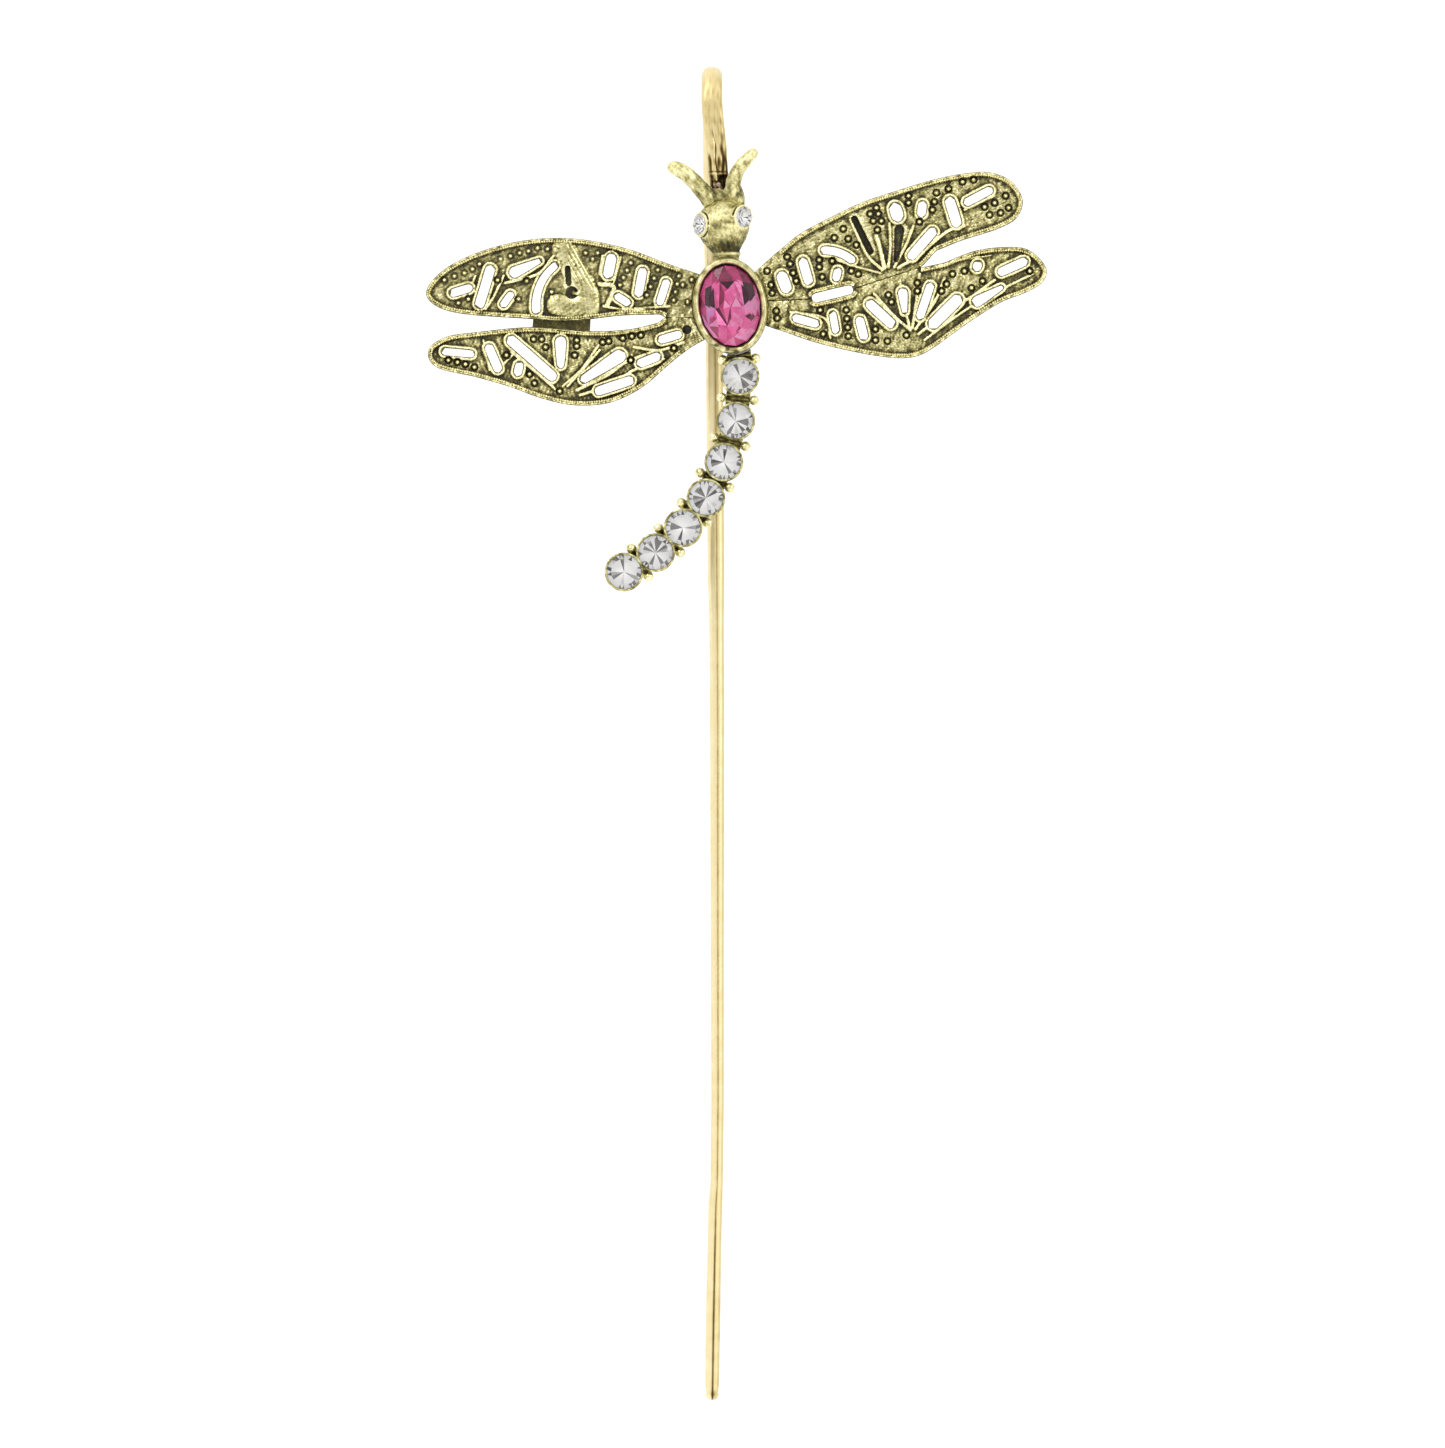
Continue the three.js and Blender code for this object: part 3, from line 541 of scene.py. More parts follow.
class Sheet:
    """A flat grid over a plate, with distances to its outer edge and to its openings."""

    def __init__(self, loops, fixed):
        low, high = loops[0].min(0) - 3 * WING_STEP, loops[0].max(0) + 3 * WING_STEP
        self.xs = np.arange(low[0], high[0], WING_STEP)
        self.ys = np.arange(low[1], high[1], WING_STEP)
        self.x, self.y = np.meshgrid(self.xs, self.ys, indexing="ij")
        self.outer, self.outer_arc, outer_near = self.measure(loops[0])
        self.hole = np.full(self.x.shape, NEAR_REACH)
        self.hole_arc = np.zeros(self.x.shape)
        self.inside = self.covered(loops[0])
        self.near = outer_near
        for loop in loops[1:]:
            distance, arc, near = self.measure(loop)
            closer = distance < self.hole
            self.hole = np.where(closer, distance, self.hole)
            self.hole_arc = np.where(closer, arc, self.hole_arc)
            nearest = closer & (distance < self.outer)
            self.near = np.where(nearest[:, :, None], near, self.near)
            self.inside &= ~self.covered(loop)
        self.free = fixed(outer_near[:, :, 0], outer_near[:, :, 1])

    def measure(self, loop):
        """Distance to a loop, how far round the loop the nearest point is, and that point."""
        best = np.full(self.x.shape, NEAR_REACH)
        arc = np.zeros(self.x.shape)
        near = np.stack([self.x, self.y], axis=2)
        travelled = 0.0
        for a, b in zip(loop, np.roll(loop, -1, axis=0)):
            along = b - a
            length = np.hypot(*along)
            i = slice(*np.searchsorted(self.xs, [min(a[0], b[0]) - NEAR_REACH, max(a[0], b[0]) + NEAR_REACH]))
            j = slice(*np.searchsorted(self.ys, [min(a[1], b[1]) - NEAR_REACH, max(a[1], b[1]) + NEAR_REACH]))
            x, y = self.x[i, j] - a[0], self.y[i, j] - a[1]
            share, distance = nearest_on(x, y, along, length**2)
            closer = distance < best[i, j]
            best[i, j] = np.where(closer, distance, best[i, j])
            arc[i, j] = np.where(closer, travelled + share * length, arc[i, j])
            foot = np.stack([a[0] + share * along[0], a[1] + share * along[1]], axis=2)
            near[i, j] = np.where(closer[:, :, None], foot, near[i, j])
            travelled += length
        return best, arc, near

    def covered(self, loop):
        """Whether each grid point is inside a loop."""
        inside = np.zeros(self.x.shape, bool)
        for a, b in zip(loop, np.roll(loop, -1, axis=0)):
            low, high = sorted((a[1], b[1]))
            for j in range(*np.searchsorted(self.ys, [low, high])):
                crossing = a[0] + (b[0] - a[0]) * (self.ys[j] - a[1]) / (b[1] - a[1])
                inside[np.searchsorted(self.xs, crossing):, j] ^= True
        return inside

    def to_line(self, points, reach=1.2):
        """Distance to an open line, and the share of the line at the nearest point."""
        best = np.full(self.x.shape, reach)
        share_there = np.zeros(self.x.shape)
        points = np.asarray(points, float)
        steps = len(points) - 1
        for k, (a, b) in enumerate(zip(points[:-1], points[1:])):
            along = b - a
            x, y = self.x - a[0], self.y - a[1]
            share, distance = nearest_on(x, y, along, along @ along)
            closer = distance < best
            best = np.where(closer, distance, best)
            share_there = np.where(closer, (k + share) / steps, share_there)
        return best, share_there


def bent(points, steps=6):
    """A smooth line through a few points."""
    points = [np.asarray(point, float) for point in points]
    padded = [2 * points[0] - points[1], *points, 2 * points[-1] - points[-2]]
    line = []
    for before, a, b, after in zip(padded, padded[1:], padded[2:], padded[3:]):
        for t in np.arange(steps) / steps:
            line.append(0.5 * (2 * a + (b - before) * t + (2 * before - 5 * a + 4 * b - after) * t**2
                               + (3 * a - before - 3 * b + after) * t**3))
    return np.array([*line, points[-1]])


def row(start, end, count):
    """Evenly spaced places from start to end."""
    return [tuple(place) for place in np.linspace(start, end, count)]


def dome(distance, radius, height):
    """A rounded ridge or ball of that height above the ground."""
    return height * np.sqrt(np.clip(1 - (distance / radius) ** 2, 0, 1))


def wing_relief(sheet, design, thickness, seed):
    """Height of the wing's front over its back, and its patina."""
    raised = thickness - WING_FLOOR
    places = (sheet.x, sheet.y)
    ground = WING_FLOOR + 0.035 * ripple(places, 0.7, seed) + 0.02 * ripple(places, 0.25, seed + 1)
    height = ground

    # Radiating veins and the ridges beside them.
    for line, half_width, share in design["veins"]:
        distance, _ = sheet.to_line(bent(line))
        height = np.maximum(height, ground + dome(distance, half_width, share * raised))

    # A smooth rim round every opening.
    beads = 0.5 + 0.5 * np.cos(2 * math.pi * sheet.hole_arc / ROPE_PITCH)
    rim = dome(sheet.hole - RIM_MIDDLE, RIM_HALF, raised) * (0.72 + 0.16 * beads)
    height = np.maximum(height, ground + rim)

    # The outer edge: a smooth band, then a row of small beads, then a groove.
    band = dome(sheet.outer - BAND_MIDDLE, BAND_HALF, 0.72 * raised)
    across = (sheet.outer - ROPE_MIDDLE) / ROPE_HALF
    along = (sheet.outer_arc % ROPE_PITCH / ROPE_PITCH - 0.5) / 0.62
    rope = raised * np.sqrt(np.clip(1 - across**2 - along**2, 0, 1))
    groove = np.exp(-(((sheet.outer - GROOVE_MIDDLE) / GROOVE_HALF) ** 2)) * sheet.free
    height = height - GROOVE_DEPTH * groove * (sheet.hole > 0.5)
    height = np.maximum(height, ground + np.maximum(band, rope) * sheet.free)

    # Grains, each in its own dark ring.
    ring = np.zeros(sheet.x.shape)
    for x, y in design["grains"]:
        distance = np.hypot(sheet.x - x, sheet.y - y)
        well = smooth_step(distance, 0.44, 0.33)
        height = height * (1 - well) + WELL_FLOOR * well
        ring = np.maximum(ring, well * smooth_step(distance, 0.2, 0.27))
    for x, y in design["grains"]:
        distance = np.hypot(sheet.x - x, sheet.y - y)
        height = np.maximum(height, WELL_FLOOR + dome(distance, GRAIN_RADIUS, raised + 0.08))

    height, stain = design["extra"](sheet, height, raised)

    # The edge of the metal is rounded over.
    edge = np.minimum(sheet.outer, sheet.hole)
    height = height - 0.12 * (1 - smooth_step(edge, 0, 0.1))

    weight = sheet.inside.astype(float)
    around = blurred(np.where(sheet.inside, height, 0), 4) / np.maximum(blurred(weight, 4), 0.05)
    hollow = (around - height) / 0.16
    patina_and_shade = 0.38 + 0.62 * np.clip(hollow, -0.6, 1.1) + 0.3 * ring + stain
    patina_and_shade = patina_and_shade + 0.1 * ripple(places, 1.3, seed + 2) + 0.12 * ripple(places, 0.3, seed + 3)
    return height, np.clip(patina_and_shade, 0, 1)


def wing_piece(name, design, fixed, seed):
    """A wing with its relief on the front, from the outline of its CAD plate."""
    points, _ = node_mesh(name)
    thickness = np.ptp(points[:, 2])
    border, *openings = [rounded(loop) for loop in outlines(name)]
    sheet = Sheet([grown(border, fixed), *openings], fixed)
    height, patina_and_shade = wing_relief(sheet, design, thickness, seed)

    # Grid points near the edge move onto it. 1 is inside, 0 on the edge and -1 outside.
    edge = np.minimum(sheet.outer, sheet.hole)
    signed = np.where(sheet.inside, edge, -edge)
    on_edge = edge < 0.51 * WING_STEP
    state = np.where(on_edge, 0, np.sign(signed))
    flat = np.where(on_edge[:, :, None], sheet.near, np.stack([sheet.x, sheet.y], axis=2))

    number = np.arange(state.size).reshape(state.shape)
    corners = [part(number) for part in CELL_CORNERS]
    states = np.stack([part(state) for part in CELL_CORNERS], axis=-1)
    depths = np.stack([part(signed) for part in CELL_CORNERS], axis=-1)
    outside = (states < 0).sum(axis=-1)
    whole = (outside == 0) & (depths.sum(axis=-1) > 0)
    quads = np.stack([corner[whole] for corner in corners], axis=1)
    halves = []
    for k in range(4):
        kept = [(k + 1) % 4, (k + 2) % 4, (k + 3) % 4]
        half = (outside == 1) & (states[..., k] < 0) & (depths[..., kept].sum(axis=-1) > 0)
        halves.append(np.stack([corners[c][half] for c in kept], axis=1))
    halves = np.concatenate(halves)

    used, quads, halves = renumber(state.size, quads, halves)
    front = np.column_stack([flat.reshape(-1, 2)[used], height.reshape(-1)[used]])
    return solid_from_front(name, front, quads, halves, patina_and_shade.reshape(-1)[used])


CELL_CORNERS = [
    lambda a: a[:-1, :-1],
    lambda a: a[1:, :-1],
    lambda a: a[1:, 1:],
    lambda a: a[:-1, 1:],
]


def renumber(count, *face_sets):
    """The point numbers that some faces use, and the faces with new numbers."""
    used = np.unique(np.concatenate([faces.reshape(-1) for faces in face_sets]))
    lookup = np.full(count, -1)
    lookup[used] = np.arange(len(used))
    return used, *[lookup[faces] for faces in face_sets]


def open_edges(count, *face_sets):
    """The directed edges that only one face has."""
    sides = [
        faces[:, [k, (k + 1) % faces.shape[1]]]
        for faces in face_sets
        for k in range(faces.shape[1])
    ]
    edges = np.concatenate(sides)
    code = edges[:, 0] * count + edges[:, 1]
    reverse = edges[:, 1] * count + edges[:, 0]
    return edges[~np.isin(code, reverse)]


def solid_from_front(name, front, quads, halves, patina_and_shade):
    """Closes a relief with walls and a flat back."""
    count = len(front)
    edges = open_edges(count, quads, halves)
    rim = np.unique(edges)
    lookup = np.full(count, -1)
    lookup[rim] = np.arange(len(rim))
    back = front[rim].copy()
    back[:, 2] = 0
    start, end = edges.T
    wall = np.column_stack([end, start, lookup[start] + count, lookup[end] + count])
    flat, _, faces, origin, _, _ = delaunay_2d_cdt(
        [Vector(point[:2]) for point in back], lookup[edges].tolist(), [], 1, 1e-7
    )
    middles = np.array([sum((flat[k] for k in face), Vector((0, 0))) / len(face) for face in faces])
    keep = in_faces(middles, front, quads, halves)
    back_faces = np.array([[origin[k][0] for k in face] for face, kept in zip(faces, keep) if kept]) + count
    points = np.concatenate([front, back])
    values = {"patina_and_shade": np.concatenate([patina_and_shade, np.full(len(back), 0.45)])}
    face_sets = [quads, halves, wall, back_faces[:, ::-1]]
    return add_piece(name + "_chased", points, face_sets, [name], [ANTIQUE], 48, values)


def in_faces(places, front, quads, halves):
    """Whether each place lies over one of the front's faces, told by the nearest face middles."""
    cells = np.concatenate([front[quads][:, :, :2].mean(axis=1), front[halves][:, :, :2].mean(axis=1)])
    low = cells.min(0) - 1
    shape = np.ceil((np.ptp(cells, axis=0) + 2) / WING_STEP).astype(int) + 1
    filled = np.zeros(shape, bool)
    slots = ((cells - low) / WING_STEP).astype(int)
    filled[slots[:, 0], slots[:, 1]] = True
    slots = ((places - low) / WING_STEP).astype(int)
    return np.array([filled[max(i - 1, 0):i + 2, max(j - 1, 0):j + 2].any() for i, j in slots])


def no_extra(sheet, height, raised):
    return height, 0


def leaf_extra(sheet, height, raised):
    """The smooth leaf on the upper left wing, with its slit, its hollow and its hooked bead."""
    leaf, _ = sheet.to_line(bent([(-16.6, 5.6), (-15.6, 3.6), (-14.4, 1.6), (-14.2, -0.1)]), 3)
    lobe, _ = sheet.to_line(bent([(-17.2, 0.1), (-15.6, -0.15), (-14.3, 0.4)]), 3)
    body = np.maximum(dome(leaf, 1.25, 0.95 * raised), dome(lobe, 1.15, 1.05 * raised))
    lines = 0.5 + 0.5 * np.cos(2 * math.pi * (0.75 * sheet.x + 0.42 * sheet.y) / 0.34)
    flank = smooth_step(sheet.y, 1.6, 2.6) * smooth_step(sheet.x, -16.6, -15.9)
    body = body - 0.07 * lines * flank * (body > 0.1)
    height = np.maximum(height, WING_FLOOR + body)
    slit, _ = sheet.to_line([(-16.2, 3.75), (-16.1, 2.3)])
    hollow = np.hypot(sheet.x + 15.8, sheet.y - 1.35)
    sunk = np.maximum(smooth_step(slit, 0.3, 0.16), smooth_step(hollow, 0.65, 0.4))
    height = height - 0.75 * sunk
    hook, _ = sheet.to_line(bent([(-15.6, 1.35), (-15.2, 1.25), (-14.9, 1.6), (-15.05, 2.0)]))
    height = np.maximum(height, WING_FLOOR - 0.1 + dome(hook, 0.24, raised + 0.1))
    return height, 0.5 * sunk


def dark_socket(sheet, height, raised):
    """The round dark recess at the root end of the lower left wing's first opening."""
    distance = np.hypot(sheet.x + 4.3, sheet.y + 2.35)
    sunk = smooth_step(distance, 0.5, 0.34)
    return height - 0.6 * sunk * (height - 0.25), 0.7 * sunk


def slit_and_recess(sheet, height, raised):
    """The blind slit and the brown recess on the upper right wing."""
    slit, _ = sheet.to_line([(12.4, 8.7), (14.0, 5.5)])
    recess, share = sheet.to_line([(16.9, 7.6), (16.6, 4.6)])
    sunk = smooth_step(slit, 0.36, 0.2)
    width = 0.55 - 0.25 * share
    brown = smooth_step(recess, width, width - 0.18)
    return height - 0.5 * sunk - 0.35 * brown, 0.75 * sunk + 0.2 * brown


UPPER_LEFT = {
    "grains": [
        (-28.5, 2.6), (-27.5, 3.0), (-26.5, 3.3), (-25.7, 3.7), (-25, 4.2),
        (-22.9, 4.7), (-21.9, 5.0), (-21, 5.3), (-20.1, 5.5), (-19.2, 5.8), (-18.2, 5.7), (-17.4, 5.6),
        (-23.2, 2.6), (-20.3, 2.5), (-27.1, 0.3), (-26.1, 0.7), (-21.1, 0.7),
        (-14.4, 5.3), (-13.7, 4.7), (-13.2, 5.3),
        *row((-9.9, 4.3), (-11, 2.1), 4), *row((-7.2, 3.6), (-8.3, 1.1), 4), *row((-5.1, 3), (-5.6, 0.6), 4),
        (-4.7, 2.1), (-4.2, 0.4), (-3.8, 2.6), (-17.8, 0.9), (-17.8, 1.4), (-17.3, 0.9),
    ],
    "veins": [
        ([(-17.6, 5.0), (-19.2, 3.2), (-22.4, 2.3)], 0.2, 0.8),
        ([(-22.6, 3.0), (-23.6, 0.9), (-24.4, -0.3)], 0.18, 0.75),
        ([(-25.4, 3.0), (-26.0, 1.6)], 0.16, 0.7),
        ([(-12.7, 5.0), (-13.0, 3.2)], 0.2, 0.85),
        ([(-10.9, 4.9), (-11.6, 2.3)], 0.16, 0.7),
        ([(-13.0, 2.2), (-11.6, 1.9), (-12.2, 0.2)], 0.3, 0.8),
        ([(-12.6, 0.0), (-10.4, -0.35), (-6.0, 0.0)], 0.2, 0.8),
    ],
    "extra": leaf_extra,
}

LOWER_LEFT = {
    "grains": [
        (-19.6, -3.3), (-18.8, -3.3), (-18.4, -4.1), (-15.3, -3.4), (-15.3, -4), (-15.5, -4.9),
        (-12.7, -3.6), (-12.1, -3.5), (-10.7, -3.2), (-9.8, -3), (-8.9, -2.9),
        (-28.1, -5.4), (-27.2, -5.6), (-26.4, -5.8), (-25.5, -6.1), (-22.3, -4.9), (-20, -6.8),
        (-19.5, -7.7), (-17, -8.5), (-5.6, -4.2), (-9.9, -5.4),
    ],
    "veins": [
        ([(-16.7, -8.0), (-14.9, -6.4), (-13.6, -4.6), (-12.6, -3.2)], 0.17, 0.85),
        ([(-16.2, -8.0), (-14.3, -5.9), (-13.0, -4.4)], 0.17, 0.9),
        ([(-15.3, -8.4), (-12.4, -7.0), (-10.4, -5.6), (-8.6, -4.9)], 0.22, 0.85),
        ([(-15.0, -8.9), (-12.0, -7.9), (-9.6, -6.4), (-6.6, -5.3)], 0.2, 0.75),
        ([(-17.3, -8.4), (-19.6, -6.4), (-21.8, -4.6)], 0.18, 0.8),
        ([(-24.6, -3.4), (-24.0, -6.4)], 0.16, 0.75),
        ([(-22.6, -5.8), (-21.6, -4.8), (-21.2, -4.3)], 0.16, 0.7),
        ([(-9.6, -4.1), (-7.0, -4.4), (-4.6, -3.6)], 0.2, 0.8),
    ],
    "extra": dark_socket,
}

UPPER_RIGHT = {
    "grains": [
        (5.7, 4.9), (6, 4.2), (6.3, 3.3), (6.6, 2.5), (8.9, 4.6), (8.9, 3.9), (9.2, 2.9),
        (3.7, 3.5), (4.1, 2.1), (4.2, 1.3), (10.2, 4.5), (12.1, 3.5), (12.8, 3.2),
        (11.3, 7.7), (10.4, 6.8), (11.8, 6.7), (12.6, 6.1),
        (14.6, 9.8), (14.8, 9.2), (14, 9.2), (15.1, 8.5), (14.3, 8.5), (14.7, 7.6),
        (17.8, 11), (17.8, 10.3), (20.6, 11.3), (20.4, 10.4), (20.2, 9.6), (21.8, 11.7), (23.2, 12.4),
        (24.3, 12.6), (18.9, 8.4), (27.5, 11), (26.4, 10.3), (25.4, 9.9), (27.8, 9.8), (27, 9.3), (25.9, 9.1),
    ],
    "veins": [
        ([(15.2, 3.6), (13.6, 5.2), (12.0, 8.6)], 0.2, 0.85),
        ([(15.4, 3.8), (15.0, 5.6), (14.6, 7.0)], 0.28, 0.8),
        ([(15.8, 3.9), (16.0, 6.0), (15.9, 8.2)], 0.2, 0.85),
        ([(16.4, 3.9), (17.6, 6.2), (18.3, 8.0)], 0.2, 0.8),
        ([(16.8, 3.8), (19.0, 5.2), (21.6, 7.4), (23.4, 8.0)], 0.22, 0.8),
        ([(15.0, 3.3), (12.4, 4.0), (9.0, 5.2)], 0.16, 0.7),
        ([(23.4, 9.6), (26.4, 11.0)], 0.15, 0.7),
    ],
    "extra": slit_and_recess,
}

LOWER_RIGHT = {
    "grains": [
        (4.6, -0.5), (4.7, -1.2), (9, -0.4), (9.3, -2.8),
        *row((11.6, -0.4), (11.8, -3), 4), (14.5, -2.3), (14.5, -3.4), (15.7, -3.5),
        (15.8, 1.1), (16.1, 0.4), (17.6, -2.9), (18.7, 2.3), (18.7, 1.5), (22.2, 3.2), (23.4, 3.5),
        (21.6, 2.2), (21.1, 1.5), (24.1, 1.8), (25.2, 2.5), (29.9, 3.5),
    ],
    "veins": [
        ([(18.0, -2.4), (16.4, -1.0), (14.4, 1.2)], 0.2, 0.8),
        ([(17.9, -2.2), (17.4, 0.2), (17.0, 2.2)], 0.2, 0.8),
        ([(18.2, -2.2), (18.6, 0.6), (18.9, 3.2)], 0.2, 0.8),
        ([(18.5, -2.3), (20.4, 0.4), (21.4, 2.8)], 0.2, 0.8),
        ([(18.8, -2.8), (21.6, -0.6), (24.2, 1.0), (26.4, 2.6)], 0.2, 0.8),
        ([(19.4, -3.4), (23.2, -0.6), (27.0, 1.6), (30.2, 3.2)], 0.18, 0.7),
        ([(6.0, -0.6), (9.4, -1.2), (10.0, -3.2)], 0.16, 0.7),
        ([(19.6, 3.6), (22.6, 4.5), (26.0, 5.1)], 0.16, 0.7),
    ],
    "extra": no_extra,
}

LEFT_SEAM_END = -6.4
RIGHT_SEAM_END = 19.0
ROOT = 4.6  # the wings' borders start this far from the middle of the body


def left_free(x, y):
    """1 where the left wings have their own edge and 0 where they join each other or the body."""
    seam = (np.abs(y + 1.15) < 0.2) & (x > LEFT_SEAM_END)
    return smooth_step(np.abs(x), ROOT, ROOT + 0.5) * (1 - seam)


def right_free(x, y):
    seam_height = np.interp(x, [2.3, 8.15, 12.3, 15, RIGHT_SEAM_END], [0.45, 0.72, 1.72, 2.6, 3.85])
    seam = (np.abs(y - seam_height) < 0.2) & (x < RIGHT_SEAM_END)
    return smooth_step(np.abs(x), ROOT, ROOT + 0.5) * (1 - seam)


def wings():
    wing_piece("upper_left_wing", UPPER_LEFT, left_free, 11)
    wing_piece("lower_left_wing", LOWER_LEFT, left_free, 23)
    wing_piece("upper_right_wing", UPPER_RIGHT, right_free, 37)
    wing_piece("lower_right_wing", LOWER_RIGHT, right_free, 41)


# Stones


class Seat:
    """Where a CAD stone sits: the middle and axis of its girdle, and its sizes."""

    def __init__(self, node):
        points, _ = node_mesh(node)
        middle = points.mean(axis=0)
        _, directions = np.linalg.eigh(np.cov((points - middle).T))
        axis = directions[:, 0]
        self.axis = axis if axis[2] > 0 else -axis
        self.right = np.cross((0.0, 1.0, 0.0), self.axis)
        self.right /= np.linalg.norm(self.right)
        self.up = np.cross(self.axis, self.right)
        heights = (points - middle) @ self.axis
        radii = np.linalg.norm(points - middle - heights[:, None] * self.axis, axis=1)
        girdle = heights[radii > 0.97 * radii.max()]
        self.radius = radii.max()
        self.centre = middle + girdle.min() * self.axis
        self.girdle = np.ptp(girdle)
        self.crown = heights.max() - girdle.max()
        self.pavilion = girdle.min() - heights.min()

    def place(self, points):
        points = np.asarray(points, float)
        return self.centre + points @ np.stack([self.right, self.up, self.axis])

    def across(self, x, y, z):
        """Height along the axis and distance from it, for grids of points."""
        away = (x - self.centre[0], y - self.centre[1], z - self.centre[2])
        height = sum(part * along for part, along in zip(away, self.axis))
        square = sum(part**2 for part in away) - height**2
        return height, np.sqrt(np.maximum(square, 0))


def circle(radius, count, height, start=0.0, stretch=1.0):
    """Points on a ring, with the first at `start` steps from the right."""
    angles = 2 * math.pi * (np.arange(count) + start) / count
    ring = [radius * np.cos(angles), radius * stretch * np.sin(angles), np.full(count, height)]
    return np.stack(ring, axis=1)


def crown_faces(table, girdle):
    """Triangles between a table of n corners and a girdle of 2n, with the table's turned half a step."""
    faces = []
    count = len(table)
    for k in range(count):
        a, b, c = girdle[2 * k], girdle[2 * k + 1], girdle[(2 * k + 2) % (2 * count)]
        ahead = table[(k + 1) % count]
        faces += [(table[k], a, b), (table[k], b, c), (table[k], c, ahead)]
    return faces


def girdle_band(edge, girdle):
    """Triangles round a stone's edge, between the rings of its lower and upper side."""
    pairs = zip(edge, np.roll(edge, -1), girdle, np.roll(girdle, -1))
    return [face for a, b, c, d in pairs for face in ((a, b, d), (a, d, c))]


def add_stone(name, rings, place, crown_of, mirrors_of, reflection_tones_of, materials):
    """A stone piece from rings of points: its glass above the girdle and its silvering below, with painted
    reflections on the silvering.
    """
    starts = np.cumsum([0] + [len(ring) for ring in rings])
    numbered = [list(range(a, b)) for a, b in zip(starts, starts[1:])]
    shell = crown_of(*numbered[:2]) + girdle_band(numbered[2], numbered[1])
    mirrors = mirrors_of(*numbered[2:])
    faces = np.array([*shell, *mirrors])
    add_piece(
        name + "_cut", place(np.concatenate(rings)), [faces], [name], materials, 0,
        parts=[0] * len(shell) + [1] * len(mirrors),
        reflection_tones=[1.0] * len(shell) + list(reflection_tones_of(mirrors)),
    )


def crown_with_table(table, girdle):
    fan = [(table[0], table[k], table[k + 1]) for k in range(1, len(table) - 1)]
    return crown_faces(table, girdle) + fan


# Painted reflection tones for the round stones' mirror facets, shuffled for each stone.
CLEAR_REFLECTION_TONES = (1.0, 0.95, 0.3, 1.0, 0.75, 1.0, 0.4, 0.97, 0.95, 0.1, 0.98, 1.0, 0.6, 1.0, 0.45, 0.95,
               1.0, 0.9)
CLEAR_SIDES = 20
CLEAR_TABLE = 0.66  # width of the flat top as a share of the stone's
CLEAR_INNER = 0.66  # where the pavilion's long facets end


def clear_crystal(node, seed):
    """A silvered round stone with long facets that meet in a point."""
    seat = Seat(node)
    random = np.random.default_rng(seed)
    count = CLEAR_SIDES
    top = seat.girdle + 0.75 * seat.crown
    rings = [
        circle(CLEAR_TABLE, count, top, 0.5),
        circle(1, 2 * count, seat.girdle),
        circle(1, 2 * count, 0),
        circle(CLEAR_INNER, count, -seat.pavilion * (1 - CLEAR_INNER), 0.5),
        np.array([(0, 0, -seat.pavilion)]),
    ]
    turn = random.uniform(0, 2 * math.pi)
    spin = np.array([(math.cos(turn), math.sin(turn), 0), (-math.sin(turn), math.cos(turn), 0), (0, 0, 1)])

    def mirrors(edge, inner, culet):
        long_facets = [(b, a, culet[0]) for a, b in zip(inner, np.roll(inner, -1))]
        return [face[::-1] for face in crown_faces(inner, edge)] + long_facets

    add_stone(
        node, rings, lambda points: seat.place(points * (seat.radius, seat.radius, 1) @ spin),
        crown_with_table, mirrors,
        lambda faces: random.permutation(np.resize(CLEAR_REFLECTION_TONES, len(faces))),
        [CLEAR_GLASS, CLEAR_FOIL],
    )


def oval_sizes(node, lean):
    """Half width and half height of an oval that leans by that angle, from its box."""
    points, _ = node_mesh(node)
    wide, high = np.ptp(points[:, 0]) / 2, np.ptp(points[:, 1]) / 2
    c, s = math.cos(lean) ** 2, math.sin(lean) ** 2
    half_width = math.sqrt((wide**2 * c - high**2 * s) / (c - s))
    half_height = math.sqrt((high**2 * c - wide**2 * s) / (c - s))
    return half_width, half_height


BODY_LEAN = math.radians(8.6)


def leaned(points):
    """Turns points with the body, about the middle stone."""
    x, y, z = np.asarray(points, float).T
    c, s = math.cos(BODY_LEAN), math.sin(BODY_LEAN)
    return np.stack([c * x - s * y, s * x + c * y, z], axis=1)


def upright(x, y):
    """Turns places back from the leaning body, so that it stands upright. The reverse of leaned()."""
    c, s = math.cos(BODY_LEAN), math.sin(BODY_LEAN)
    return c * x + s * y, c * y - s * x


# Corners of the pavilion's facets from the stone's middle, as the stone leans in the pin.
PINK_CORNERS = {
    "a": (-1.04, 2.38), "b": (0.45, 2.44), "c": (-0.24, 1.61), "d": (-1.66, 1.95), "e": (1.08, 2.27),
    "g": (0.02, -0.06), "h": (-0.56, 1.32), "i": (1.42, 0.03), "j": (-1.49, -0.29), "k": (-0.28, -1.78),
    "l": (0.94, -2.01), "m": (0.13, -1.2), "n": (-2.28, 0.06), "o": (2.36, 1.02), "p": (-0.67, -0.26),
    "q": (-1.1, -0.2), "r": (1.14, -0.09), "s": (1.34, -1.09), "t": (-0.56, 0.57), "u": (0.59, 0.86),
    "v": (0.14, -0.09), "w": (-2.33, 1.66), "x": (2.2, 2.07), "z": (-0.27, -2.07), "A": (2.6, -0.34),
    "B": (1.94, -0.55), "C": (1.48, -1.0), "D": (2.03, -0.77), "E": (2.36, -1.0), "F": (1.97, -1.46),
    "G": (2.05, -2.2), "H": (1.11, -2.24), "I": (0.36, -2.93), "J": (-0.27, -3.4), "K": (-0.33, -2.24),
    "L": (-0.96, -1.92), "M": (-1.1, -3.2), "N": (-1.3, -1.32), "O": (-1.7, -1.0), "P": (-2.02, -1.98),
    "R": (-0.33, 3.4),
}
